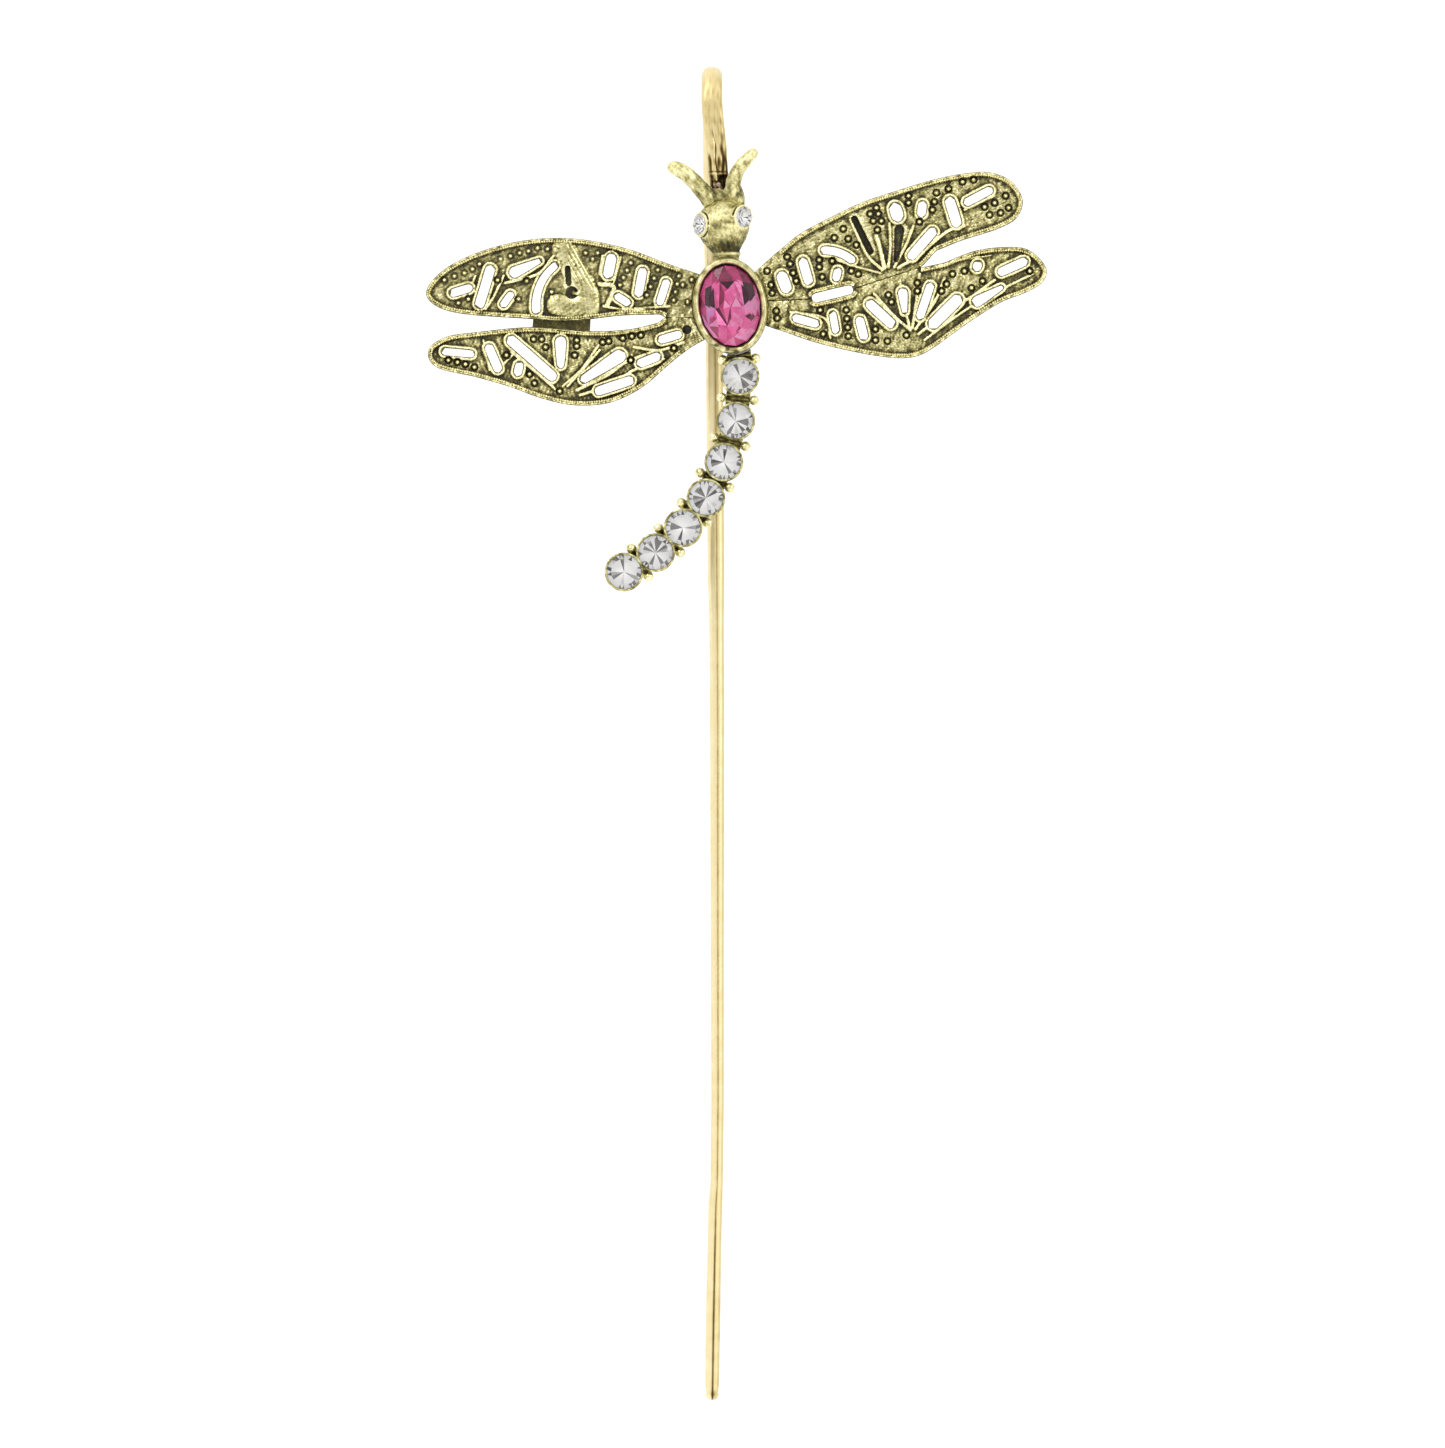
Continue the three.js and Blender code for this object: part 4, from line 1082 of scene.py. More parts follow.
# Facets by their corners, with their painted reflection tones. 0 is almost black, 0.88 the palest pink and 1
# lavender.
PINK_FACETS = [
    ("acb", 0.03), ("aRb", 0.32), ("wdjn", 0.04), ("exoi", 0.05), ("daqj", 0.64), ("ahtq", 0.34),
    ("ach", 0.5), ("hcg", 0.72), ("cbug", 0.75), ("hgt", 0.62),
    ("beiu", 0.78), ("vur", 0.88), ("ugv", 0.42), ("uir", 0.5),
    ("ptg", 0.88), ("qtp", 0.45), ("pgk", 0.74), ("qpk", 0.55), ("jqkz", 0.18), ("gmk", 0.3), ("kmz", 0.4),
    ("ris", 0.78), ("vrslm", 0.76), ("gvm", 0.7), ("ioA", 0.86), ("iAB", 0.84), ("iBC", 0.84), ("iCs", 0.7),
    ("CDEF", 0.22), ("CBD", 0.8), ("BAED", 0.86), ("CFGHs", 0.7), ("slH", 0.8), ("zml", 0.78), ("zlIK", 0.66),
    ("lHI", 0.38), ("KIJ", 0.55), ("LKJM", 0.7), ("LzK", 0.6), ("jzLN", 0.74), ("njOP", 1.0), ("jNO", 0.6),
    ("ONP", 0.42), ("NLP", 0.8), ("PLM", 0.42),
]
# Painted reflection tones of the facets at the rim, from the right side and round by the top.
PINK_RIM_REFLECTION_TONES = (0.85, 0.6, 0.34, 0.3, 0.45, 0.55, 0.3, 0.42, 0.6, 0.62, 0.5, 0.36, 0.45, 0.97,
                  0.9, 0.55, 0.6, 0.78, 0.55, 0.8, 0.84, 0.7, 0.45, 0.8)


def centre_stone():
    """The oval pink stone: a glass crown over silvered facets."""
    points, _ = node_mesh("centre_stone")
    half_width, half_height = oval_sizes("centre_stone", BODY_LEAN)
    low, high = points[:, 2].min(), points[:, 2].max()
    edges = np.sort(points[np.hypot(points[:, 0], points[:, 1]) > 0.9 * half_width, 2])
    girdle_low, girdle_high = edges.min(), edges.max()
    x, y = np.array(list(PINK_CORNERS.values())).T
    x, y = upright(x, y)
    inner = np.stack([x / half_width, y / half_height], axis=1)
    reach = np.hypot(*inner.T)
    depths = low + (girdle_low - low) * (0.04 + 0.96 * reach**0.85)
    rings = [
        circle(0.72, 8, girdle_high + 0.7 * (high - girdle_high), 0.5),
        circle(1, 16, girdle_high),
        circle(1, 16, girdle_low),
        np.column_stack([inner, depths]),
    ]

    spots = np.concatenate(rings)
    kites = [(letters[0] + letters[k:k + 2], reflection_tone) for letters, reflection_tone in PINK_FACETS
             for k in range(1, len(letters) - 1)]

    def mirrors(edge, corners):
        number = dict(zip(PINK_CORNERS, corners))
        inner_faces = [tuple(number[letter] for letter in letters) for letters, _ in kites]
        outer = rim_triangles(inner_faces, edge, spots[:, :2])
        return [turned_down(face, spots) for face in inner_faces + outer]

    def reflection_tones(faces):
        x, y, _ = spots[np.array(faces[len(kites):])].mean(axis=1).T
        share = np.arctan2(y, x) / (2 * math.pi) % 1
        return [reflection_tone for _, reflection_tone in kites] + [PINK_RIM_REFLECTION_TONES[int(k)] for k in share * len(PINK_RIM_REFLECTION_TONES)]

    def place(points):
        return leaned(points * (half_width, half_height, 1))

    add_stone("centre_stone", rings, place, crown_with_table, mirrors, reflection_tones,
              [PINK_GLASS, PINK_FOIL])


def rim_triangles(kites, edge, flat):
    """Triangles that fill the space between the inner facets and the girdle."""
    used = sorted({k for face in kites for k in face} | set(edge))
    lookup = {k: n for n, k in enumerate(used)}
    edges = [(lookup[a], lookup[b]) for face in kites for a, b in zip(face, face[1:] + face[:1])]
    sides = {tuple(sorted(side)) for side in edges}
    rim = [(lookup[a], lookup[b]) for a, b in zip(edge, np.roll(edge, -1))]
    spots = [Vector(flat[k]) for k in used]
    _, _, faces, origin, _, _ = delaunay_2d_cdt(spots, [*sides, *rim], [], 1, 1e-7)
    covered = {frozenset(face) for face in kites}
    triangles = [tuple(used[origin[k][0]] for k in face) for face in faces]
    return [face for face in triangles if frozenset(face) not in covered]


def turned_down(face, points):
    """A face with its corners in the order that makes it look down."""
    a, b, c = (points[k] for k in face)
    return face[::-1] if np.cross(b - a, c - a)[2] > 0 else face


# Bezel

BEZEL_SIDES = 160
BEZEL_PROFILE = [  # distance in from the outer wall, and share of the height
    (3.4, 0.0), (2.6, 0.0), (1.8, 0.0), (1.0, 0.0), (0.4, 0.0), (0.10, 0.0), (0.0, 0.05),
    (-0.03, 0.25), (0.0, 0.5), (-0.02, 0.8), (0.02, 0.9), (0.10, 0.96),
    (0.22, 1.0), (0.38, 1.0), (0.50, 0.975), (0.60, 0.93), (0.655, 0.86), (0.66, 0.7), (0.66, 0.133),
]


def centre_bezel():
    """The smooth cup round the middle stone, with a rounded and slightly uneven rim."""
    half_width, half_height = oval_sizes("centre_bezel", BODY_LEAN)
    points, _ = node_mesh("centre_bezel")
    height = points[:, 2].max()
    count = BEZEL_SIDES
    angles = 2 * math.pi * np.arange(count) / count
    profile = bent(BEZEL_PROFILE, 3)
    rings = []
    for inward, share in profile:
        wobble = 0.02 * np.sin(5 * angles + 1) + 0.012 * np.sin(13 * angles)
        rim = share * height + wobble * smooth_step(share, 0.8, 1.0)
        across = inward + 0.6 * wobble * smooth_step(share, 0.3, 0.9) * (inward < 0.5)
        rings.append(np.stack([(half_width - across) * np.cos(angles),
                               (half_height - across) * np.sin(angles), rim], axis=1))
    points = leaned(np.concatenate(rings))
    rows = len(profile)
    walls = grid_faces(rows, count)
    middles = np.array([(0, 0, rings[0][0, 2]), (0, 0, rings[-1][0, 2])])
    under, bottom = end_fans(rows, count)
    points = np.concatenate([points, middles])
    # Painted shade on the cup's inner wall beside the stone and at the foot of its outer wall, over a mottled
    # patina.
    inner = np.repeat(np.clip((profile[:, 0] - 0.52) / 0.12, 0, 1) * (profile[:, 1] > 0.05), count)
    outer = np.repeat((1 - smooth_step(profile[:, 1], 0.35, 0.85)) * (profile[:, 0] < 0.5), count)
    mottle_and_painted_shade = 0.3 + 0.14 * ripple(points[:-2].T, 0.8, 5) + 0.7 * inner + 0.35 * outer
    lower = smooth_step(-points[:-2, 1], 2.6, 4.6) * smooth_step(ripple(points[:-2].T, 0.5, 6), 0.1, 0.8)
    patina_and_shade = np.clip(np.concatenate([mottle_and_painted_shade + 0.5 * lower, [0.6, 0.6]]), 0, 1)
    add_piece("centre_bezel_cup", points, [walls, under, bottom], ["centre_bezel"],
              [ANTIQUE], 40, {"patina_and_shade": patina_and_shade})


# Head and antennae

HEAD_STEP = 0.065  # grid spacing of the head and the antennae
MARGIN = 0.6  # empty space round a piece in its grid


def eye_cup(field, seat, middle_x, x, y, z):
    """Sinks an eye's pocket in a field, with a thin raised lip on the side of the head's middle."""
    height, radius = seat.across(x, y, z)
    towards = (middle_x - seat.centre[0]) / abs(middle_x - seat.centre[0])
    inner = smooth_step((x - seat.centre[0]) * towards / seat.radius, -0.55, 0.35)
    beside = radius - seat.radius
    socket = np.maximum(beside - 0.07 - 0.03 * inner, np.abs(height + 0.87 - 0.25 * inner) - 0.6)
    lip = np.hypot(beside - 0.06, height + 0.06 + 0.4 * (1 - inner)) - 0.07
    groove = np.hypot(beside - 0.24, height + 0.14) - 0.09
    pocket = np.maximum(beside + 0.01, -height - 0.92)
    field = cut(join(field, socket, 0.35), groove + 0.3 * (1 - inner), 0.12)
    return cut(join(field, lip, 0.06), pocket, 0.04)


def head():
    """The dome of the head with its neck collar and the thin lips round its eyes."""
    volume = Volume.around("head", HEAD_STEP, MARGIN)
    x, y, z = volume.places()[0]
    field = blurred(volume.field, 2.6) - 0.06
    points, _ = node_mesh("head")
    neck = points[points[:, 1] < points[:, 1].min() + 0.5]
    neck_x, neck_y = neck[:, 0].mean(), points[:, 1].min()
    collar = [
        (neck_x - 1.2, neck_y + 0.66, 0.45),
        (neck_x - 0.65, neck_y + 0.7, 1.05),
        (neck_x, neck_y + 0.72, 1.22),
        (neck_x + 0.65, neck_y + 0.7, 1.05),
        (neck_x + 1.2, neck_y + 0.66, 0.45),
    ]
    ridge = np.full(volume.field.shape, 9.0, np.float32)
    for spot in bent(collar, 5):
        ridge = np.minimum(ridge, ball(spot, 0.17)(x, y, z))
    field = join(field, ridge, 0.2)
    field = field + 0.022 * ripple((x, y, z), 0.9, 3) + 0.01 * ripple((x, y, z), 0.35, 4)
    for side in ("left", "right"):
        field = eye_cup(field, Seat("eye_crystal_" + side), points[:, 0].mean(), x, y, z)
    volume.field = np.maximum(field, -z).astype(np.float32)
    points, faces = volume.surface()
    hollow = hollows(points, faces, 14, 0.045)
    px, py, pz = points.T
    # Painted shade: a dark streaky patch above the neck collar, and darkening low on the dome next to the
    # plates; the hollows hold patina.
    shade = np.exp(-(((px - neck_x - 0.15) / 1.5) ** 2) - ((py - neck_y - 1.35) / 0.6) ** 2)
    streaks = 0.5 + 0.5 * ripple((px * 2.2, py * 0.7), 0.9, 8)
    under = 1 - smooth_step(pz, 0.2, 1.3)
    centre_line = np.exp(-(((px - neck_x + 0.3) / 0.7) ** 2))
    patina_and_shade = 0.3 + 0.45 * hollow + 0.75 * shade * (0.62 + 0.38 * streaks) + 0.3 * under - 0.06 * centre_line
    patina_and_shade = patina_and_shade + 0.09 * ripple(points.T, 1.1, 9)
    add_piece("head_dome", points, [faces], ["head"], [SATIN], 60,
              {"patina_and_shade": np.clip(patina_and_shade, 0, 1)})


def antennae():
    """The two horns and the lobes that they grow from."""
    volume = Volume.around("antennae", HEAD_STEP, MARGIN)
    x, y, z = volume.places()[0]
    field = blurred(volume.field, 2.2) - 0.04
    field = field + 0.025 * ripple((x, y, z), 0.9, 13) + 0.012 * ripple((x, y, z), 0.4, 15)
    volume.field = np.maximum(field, -z).astype(np.float32)
    points, faces = volume.surface()
    hollow = hollows(points, faces, 14, 0.045)
    px, py, pz = points.T
    tips = smooth_step(np.hypot(px + 1.2, py - 10.3), 1.6, 4.6)
    # Painted shade low on the horns and lobes, next to the plates; the hollows hold patina.
    under = 1 - smooth_step(pz, 0.1, 0.9)
    patina_and_shade = 0.475 + 0.45 * hollow - 0.21 * tips + 0.25 * under + 0.12 * ripple(points.T, 0.8, 14)
    add_piece("antennae_cast", points, [faces], ["antennae"], [SATIN], 60,
              {"patina_and_shade": np.clip(patina_and_shade, 0, 1)})


# Tail

TAIL_COUNT = 7
TAIL_STEP = 0.08  # grid spacing
STRIP_HALF = 1.2  # half width of the strip that joins the cups
LINK_HALF = 1.65  # from the strip's middle to each bead
BEAD_RADIUS = 0.5
BEAD_HEIGHT = 0.9
CUP_WALL = 0.24
CUP_FLOOR = 0.35


def tail_link(middle, ahead, side, length):
    """The low strip between two cups, with the short bar across it."""
    def distance(x, y, z):
        along = (x - middle[0]) * ahead[0] + (y - middle[1]) * ahead[1]
        across = (x - middle[0]) * side[0] + (y - middle[1]) * side[1]
        strip = np.maximum(np.abs(along) - length / 2, np.abs(across) - STRIP_HALF)
        bar = np.maximum(np.abs(along) - 0.31, np.abs(across) - LINK_HALF)
        top = z - 0.95 + 0.25 * np.cos(along * 9)
        return np.maximum(np.minimum(strip, bar), top)

    return distance


def tail_cup(cx, cy, outer, rim):
    """A round cup that narrows to its foot and has a slightly dented rim."""
    def distance(x, y, z):
        radius = np.hypot(x - cx, y - cy)
        narrow = 0.25 * np.clip(1 - z / 0.6, 0, 1)
        dent = 0.03 * np.sin(6 * np.arctan2(y - cy, x - cx) + cx)
        return np.maximum(radius - outer + narrow, z - rim + 0.03 + dent)

    return distance


def tail_pocket(cx, cy, inner):
    """The hollow of a cup, down to its floor."""
    def distance(x, y, z):
        return np.maximum(np.hypot(x - cx, y - cy) - inner, CUP_FLOOR - z)

    return distance


def tail_setting():
    """Seven thin cups in a curved row, joined by low bars that end in beads."""
    points, _ = node_mesh("tail_setting")
    rim = points[:, 2].max()
    volume = Volume(points.min(0) - 0.3, points.max(0) + 0.3, TAIL_STEP)
    seats = [Seat(f"tail_crystal_{k}") for k in range(1, TAIL_COUNT + 1)]
    middles = [seat.centre[:2] for seat in seats]
    line = [middles[0] + (-0.15, 3.2), *middles]
    bead_places = []
    for k, (a, b) in enumerate(zip(line, line[1:])):
        ahead = (b - a) / np.linalg.norm(b - a)
        side = np.array([-ahead[1], ahead[0]])
        middle = a + (b - a) * (0.46 if k == 0 else 0.5)
        link = tail_link(middle, ahead, side, np.linalg.norm(b - a))
        volume.shape(link, (*middle, 0.5), 3.2, join, 0.1)
        for sign in (-1, 1):
            bead = np.array([*(middle + sign * LINK_HALF * side), BEAD_HEIGHT])
            bead_places.append(bead)
            volume.shape(ball(bead, BEAD_RADIUS), bead, 1.0, join, 0.12)
    for seat in seats:
        cx, cy = seat.centre[:2]
        outer, inner = seat.radius + CUP_WALL, seat.radius + 0.02
        volume.shape(tail_cup(cx, cy, outer, rim), (cx, cy, 1.0), 2.8, join, 0.06)
        volume.shape(tail_pocket(cx, cy, inner), (cx, cy, 1.5), 2.8, cut, 0.03)
    x, y, z = volume.places()[0]
    bezel_wide, bezel_high = oval_sizes("centre_bezel", BODY_LEAN)
    wide, high = upright(x, y)
    oval = np.hypot(wide / (bezel_wide + 0.05), high / (bezel_high + 0.05))
    volume.field = np.maximum(volume.field, (1 - oval) * bezel_wide)
    volume.field = np.maximum(volume.field, -z).astype(np.float32)
    points, faces = volume.surface()
    pz = points[:, 2]
    near_bead = np.min([np.linalg.norm(points - bead, axis=1) for bead in bead_places], axis=0)
    bead_share = (1 - smooth_step(near_bead, 0.52, 0.62)) * smooth_step(pz, 0.7, 1.1)
    low = 1 - smooth_step(pz, 0.9, 1.75)
    mottle = 0.16 * ripple(points.T, 0.5, 21) * smooth_step(pz, 0.1, 0.6) + 0.1 * ripple(points.T, 1.6, 22)
    patina_and_shade = 0.42 + 0.16 * low * (1 - bead_share) - 0.34 * bead_share + mottle
    add_piece("tail_setting_cups", points, [faces], ["tail_setting"], [ANTIQUE], 60,
              {"patina_and_shade": np.clip(patina_and_shade, 0, 1)})


# Hook bar


SECTION = [  # across the bar as a share of its width, and through it from its outer side
    (-0.36, 0.02), (-0.18, 0.0), (0.0, -0.01), (0.18, 0.0), (0.36, 0.02), (0.48, 0.22), (0.5, 0.45),
    (0.46, 0.68), (0.34, 0.87), (0.17, 0.95), (0.0, 1.0), (-0.17, 0.95), (-0.34, 0.87), (-0.46, 0.68),
    (-0.5, 0.45), (-0.48, 0.22),
]
# Flutes in the arm: place across it, half width, depth as a share and the height where each starts.
ARM_FLUTES = [(-0.38, 0.06, 1.0, 15.4), (-0.06, 0.03, 0.8, 18.3), (0.07, 0.07, 0.8, 15.0),
              (0.27, 0.06, 1.0, 16.6), (0.43, 0.05, 0.8, 15.4)]
ARM_MOUTH = 13.4  # the arm's front is sunk below this height
TIP_ROUNDING = 0.7  # length of the stem's rounded tip
LOW_SHADE = -88  # the stem's crease is darker below this height
# Rings along the tip, the foot, the stem, the bend and the arm
TIP_STEPS, FOOT_STEPS, STEM_STEPS, BEND_STEPS, ARM_STEPS = 16, 20, 230, 56, 150


def closed_curve(points, steps):
    line = bent([points[-1], *points, points[0]], steps)
    return line[steps:-steps - 1]


def bar_levels(points):
    """Height, middle and width of each level ring of a straight stretch."""
    levels = np.unique(np.round(points[:, 1], 1))
    rows = []
    for level in levels:
        ring = points[np.abs(points[:, 1] - level) < 0.06]
        if len(ring) > 3:
            rows.append((level, (ring[:, 0].min() + ring[:, 0].max()) / 2, np.ptp(ring[:, 0])))
    return np.array(rows)


def bar_ring(section, place, inward, width, thickness, arm_share, crease, sunk):
    """A ring of the bar, and its patina with painted shade. `inward` is the way through the bar in y and z.
    """
    x, y, z = place
    across, through = section.T
    crown = max(0.0, -inward[0])
    depth = through * thickness + 0.5 * crown * np.abs(2 * across) ** 3 * (1 - through)
    outer_side = smooth_step(through, 0.35, 0.1)
    dark = np.zeros(len(section))
    for flute, half, share, start in ARM_FLUTES:
        begun = arm_share * smooth_step(start - y, -0.6, 0.7 * (start - ARM_MOUTH))
        wander = 0.025 * math.sin(2.1 * y + 9 * flute)
        groove = share * begun * np.exp(-(((across - flute - wander) / half) ** 2)) * outer_side
        dark = dark + groove
    depth = depth + 0.16 * dark
    inner_side = smooth_step(through, 0.8, 0.95)
    # A shallow crease down the middle of the stem's front; its darkening is a painted dark reflection, the
    # line a round polished bar shows down its middle.
    fold_and_dark_reflection = np.exp(-(((across - 0.04) / 0.07) ** 2)) * inner_side * crease
    depth = depth - 0.05 * fold_and_dark_reflection
    flap_half = 0.04 + 0.3 * max(0.0, y - ARM_MOUTH + 1)
    flap = np.exp(-(((across + 0.1) / flap_half) ** 4))
    flap = flap * smooth_step(y, ARM_MOUTH - 1, ARM_MOUTH - 0.85)
    bowl = outer_side * smooth_step(np.abs(across), 0.44, 0.34) * sunk * (1 - flap)
    depth = depth + 0.38 * bowl
    points = np.stack([x + across * width, y + depth * inward[0], z + depth * inward[1]], axis=1)
    # Painted shade: the right half of the stem's front and of the arm is darker.
    right = smooth_step(across, 0.05, 0.3)
    mottle = 0.1 * ripple((across * 2.1, np.full(len(across), 0.35 * y)), 0.35, 41)
    # Mottled patina, plus painted shade on the arm's right half, growing down from near the bend.
    mottle = mottle * (0.6 + smooth_step(20 - y, 0, 5)) + 0.22 * smooth_step(21.5 - y, 0, 7) * right
    # Painted shade in the sunk bowl at the arm's mouth, mottled.
    cavity = (0.3 + 0.24 * ripple((across * 2.1, np.full(len(across), y)), 0.45, 42)) * bowl
    dull = 0.08 * arm_share * smooth_step(y, 17, 21) + 0.03 * smooth_step(-y, 30, 60)
    patina_and_shade = (0.115 + dull + 0.85 * dark + crease * (0.42 * fold_and_dark_reflection + 0.1 * right) + cavity
              + arm_share * outer_side * (0.17 + mottle))
    return points, patina_and_shade


def hook_bar():
    """The bar from its tip up the stem, over the bend and down the fluted arm."""
    points, _ = node_mesh("hook_bar")
    back, front = points[:, 2].min(), points[:, 2].max()
    radius, middle = (front - back) / 2, (front + back) / 2
    bend_y = points[:, 1].max() - radius
    straight = points[:, 1] < bend_y + 0.01
    stem = bar_levels(points[straight & (points[:, 2] < middle)])
    arm = bar_levels(points[straight & (points[:, 2] > middle)])
    thick = np.ptp(points[straight & (points[:, 2] < middle), 2])
    section = closed_curve(SECTION, 6)
    across, through = section.T
    made = []

    def ring(*shape):
        made.append(bar_ring(section, *shape))

    def widest(y, tip):
        """The stem's width, without the CAD tip's narrowing where the rounding is done here."""
        return np.interp(max(y, stem[2, 0]) if tip < 1 else y, stem[:, 0], stem[:, 2])

    heights = np.concatenate([stem[0, 0] + TIP_ROUNDING * np.linspace(0, 1, TIP_STEPS) ** 2,
                              np.linspace(stem[0, 0] + TIP_ROUNDING, stem[3, 0], FOOT_STEPS)[1:-1],
                              np.linspace(stem[3, 0], bend_y, STEM_STEPS)])
    for y in heights:
        x = np.interp(y, stem[:, 0], stem[:, 1])
        tip = min(1.0, (y - stem[0, 0]) / TIP_ROUNDING)
        blunt = math.sqrt(1 - (1 - tip) ** 2)
        low_end = 1 + 0.35 * smooth_step(LOW_SHADE - y, 0, 8)
        width = widest(y, tip) * (0.2 + 0.8 * blunt)
        ring((x, y, back), (0, 1), width, thick * (0.3 + 0.7 * blunt), 0, low_end, 0)
    for k in range(1, BEND_STEPS):
        angle = math.pi * k / BEND_STEPS
        share = k / BEND_STEPS
        x = stem[-1, 1] + (arm[-1, 1] - stem[-1, 1]) * smooth_step(share, 0.3, 1)
        width = stem[-1, 2] + (arm[-1, 2] - stem[-1, 2]) * smooth_step(share, 0, 0.6)
        y, z = bend_y + radius * math.sin(angle), middle - radius * math.cos(angle)
        inward = (-math.sin(angle), math.cos(angle))
        arm_share, crease = smooth_step(share, 0.5, 1), 1 - smooth_step(share, 0.2, 0.5)
        ring((x, y, z), inward, width, thick, arm_share, crease, 0)
    for y in np.linspace(bend_y, arm[0, 0], ARM_STEPS):
        x, width = (np.interp(y, arm[:, 0], arm[:, k]) for k in (1, 2))
        sunk = smooth_step(y, ARM_MOUTH - 0.22, ARM_MOUTH - 0.4)
        lip = math.exp(-(((y - ARM_MOUTH + 0.18) / 0.11) ** 2))
        seam = math.exp(-(((y - ARM_MOUTH - 0.05) / 0.08) ** 2))
        place = (x, y, front + 0.04 * lip)
        ring(place, (0, -1), width * (1 + 0.02 * lip), thick, 1 - 0.6 * lip, 0, sunk)
        points, patina_and_shade = made[-1]
        made[-1] = points, patina_and_shade + 0.7 * lip * np.abs(across + 0.1) + 0.5 * seam * (through < 0.3)
    rings, patina_and_shade = zip(*made)
    count = len(section)
    walls = grid_faces(len(rings), count)
    caps = [ring_points.mean(axis=0) for ring_points in (rings[0], rings[-1])]
    points = np.concatenate([*rings, np.array(caps)])
    first, final = end_fans(len(rings), count)
    patina_and_shade = np.concatenate([*patina_and_shade, [0.5, 0.6]])
    spot = np.hypot((points[:, 0] - stem[0, 1] - 0.1) / 0.28, (points[:, 1] - stem[0, 0] - 0.65) / 0.35)
    tip_stain = 0.45 * np.exp(-(spot**2))
    patina_and_shade = np.clip(patina_and_shade + tip_stain, 0, 1)
    add_piece("hook_bar_wire", points, [walls, first, final], ["hook_bar"], [POLISHED],
              55, {"patina_and_shade": patina_and_shade})


SOLDER_STEP = 0.07  # grid spacing


def solder_joint():
    """A rough lump of solder in the arm's end, against the back of the head."""
    volume = Volume.around("solder_joint", SOLDER_STEP, MARGIN)
    x, y, z = volume.places()[0]
    field = blurred(volume.field, 1.5) + 0.09 * ripple((x, y, z), 0.7, 31)
    volume.field = np.maximum(field, z + 0.06).astype(np.float32)
    points, faces = volume.surface()
    add_piece("solder_joint_lump", points, [faces], ["solder_joint"], [SOLDER], 60)


# Stage


def floor():
    """A pale round floor under the tip."""
    low = Vector(cad_bounds[0])
    size, sides = 0.6, 64
    angles = 2 * math.pi * np.arange(sides) / sides
    ring = np.stack([size * np.cos(angles), size * np.sin(angles), np.full(sides, low.z - 0.012)], axis=1)
    mesh = bpy.data.meshes.new("floor")
    mesh.from_pydata(ring.tolist(), [], [list(range(sides))])
    made = bpy.data.objects.new("floor", mesh)
    bpy.context.scene.collection.objects.link(made)
    g = Graph("floor_finish")
    g.set(Base_Color=g.ramp(g.noise(30), [(0.3, (0.86, 0.86, 0.86)), (0.7, (0.9, 0.9, 0.9))]), Roughness=0.8)
    mesh.materials.append(g.material)


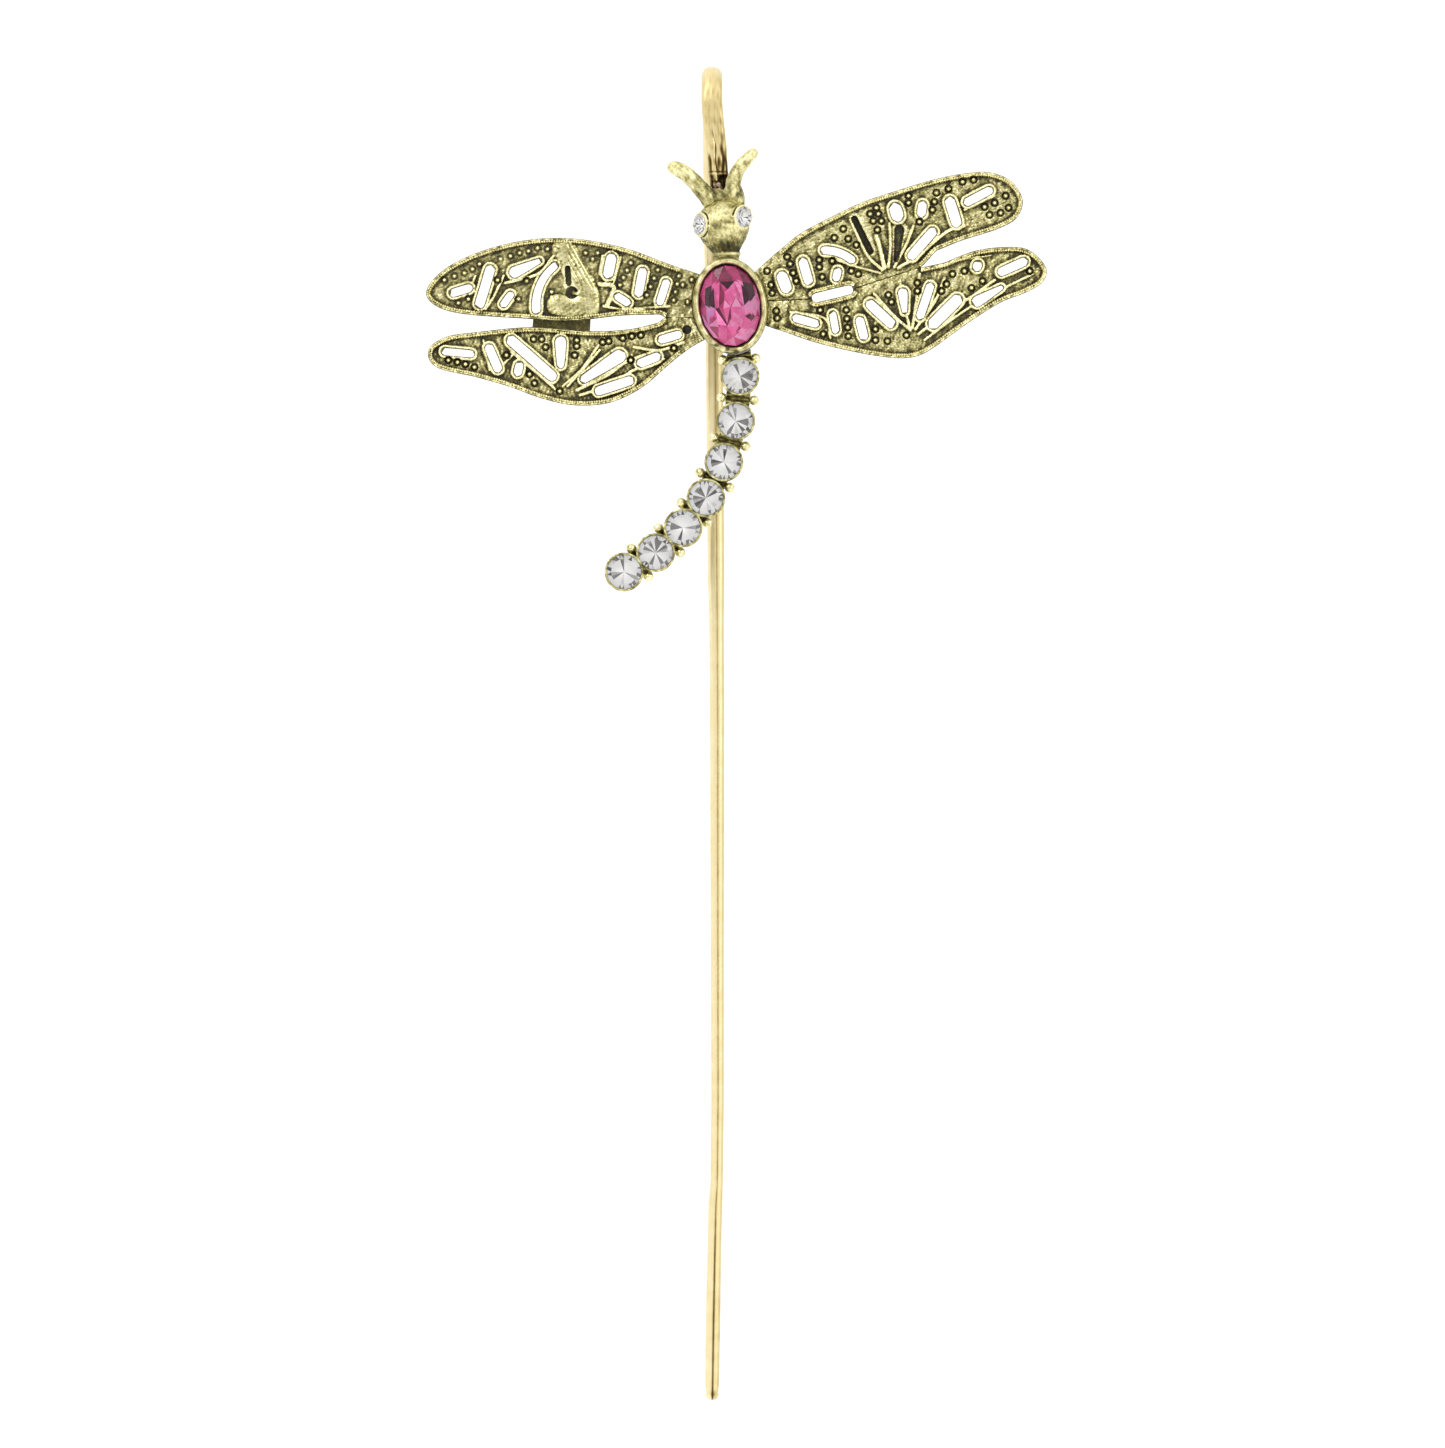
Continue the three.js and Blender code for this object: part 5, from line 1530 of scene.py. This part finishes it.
def world():
    """White all round, but what the metal mirrors is dimmer in front and brighter above and on the left."""
    made = bpy.data.worlds.new("studio")
    bpy.context.scene.world = made
    made.use_nodes = True
    tree = made.node_tree
    tree.nodes.clear()

    def add(kind, *values, **settings):
        node = tree.nodes.new(kind)
        for key, value in settings.items():
            setattr(node, key, value)
        for k, value in enumerate(values):
            if isinstance(value, bpy.types.NodeSocket):
                tree.links.new(value, node.inputs[k])
            elif value is not None:
                node.inputs[k].default_value = value
        return node

    direction = add("ShaderNodeSeparateXYZ", add("ShaderNodeTexCoord").outputs["Generated"])
    facing = add("ShaderNodeMapRange", direction.outputs["Y"], -1.0, -0.35, 1.0, 0.0).outputs[0]
    side = add("ShaderNodeMath", direction.outputs["X"], -0.12, operation="MULTIPLY").outputs[0]
    above = add("ShaderNodeMath", direction.outputs["Z"], 0.18, operation="MULTIPLY").outputs[0]
    level = add("ShaderNodeMath", side, above, operation="ADD").outputs[0]
    dim = add("ShaderNodeMath", facing, -0.42, operation="MULTIPLY").outputs[0]
    level = add("ShaderNodeMath", level, dim, operation="ADD").outputs[0]
    level = add("ShaderNodeMath", level, 1.0, operation="ADD").outputs[0]
    mirrored = add("ShaderNodeBackground", (1, 1, 1, 1), level)
    seen = add("ShaderNodeBackground", (1, 1, 1, 1), 1.15)
    ray = add("ShaderNodeLightPath").outputs
    through = add("ShaderNodeMath", ray["Is Glossy Ray"], ray["Is Transmission Ray"], operation="SUBTRACT")
    mixed = add("ShaderNodeMixShader", through.outputs[0], seen.outputs[0], mirrored.outputs[0])
    add("ShaderNodeOutputWorld", mixed.outputs[0])


def area_light(name, place, size, watts):
    light = bpy.data.lights.new(name, "AREA")
    light.shape = "DISK"
    light.size = size
    light.energy = watts
    made = bpy.data.objects.new(name, light)
    made.location = place
    aim = Vector((0, 0, 0.02)) - Vector(place)
    made.rotation_euler = aim.to_track_quat("-Z", "Y").to_euler()
    bpy.context.scene.collection.objects.link(made)


def camera():
    """Looks straight at the dragonfly from far off, and takes in the whole pin."""
    view_height = 0.1448
    distance = 1.5
    middle = Vector((0.0006, -0.005, -0.0117))
    lens = bpy.data.cameras.new("camera")
    lens.sensor_width = 36
    lens.lens = lens.sensor_width * distance / view_height
    lens.clip_start = 0.05
    lens.clip_end = 20
    made = bpy.data.objects.new("camera", lens)
    made.location = middle + Vector((0, -distance, 0))
    made.rotation_euler = (math.pi / 2, 0, 0)
    bpy.context.scene.collection.objects.link(made)
    bpy.context.scene.camera = made


def stage():
    floor()
    world()
    area_light("key", place=(-0.5, -0.8, 0.7), size=0.8, watts=5)
    area_light("fill", place=(0.7, -0.6, 0.3), size=0.5, watts=2.5)
    bpy.context.scene.view_settings.view_transform = "Standard"
    camera()


def carried_over():
    """CAD nodes whose shape is right get their material."""
    finishes = {"cement": CEMENT, "strut": STRAP}
    for name, node in frame["nodes"].items():
        for word, material in finishes.items():
            if word in name:
                node.data.materials.clear()
                node.data.materials.append(material)


wings()
for number in range(1, TAIL_COUNT + 1):
    clear_crystal(f"tail_crystal_{number}", number)
clear_crystal("eye_crystal_left", 20)
clear_crystal("eye_crystal_right", 21)
centre_stone()
centre_bezel()
head()
antennae()
tail_setting()
hook_bar()
solder_joint()
carried_over()
stage()
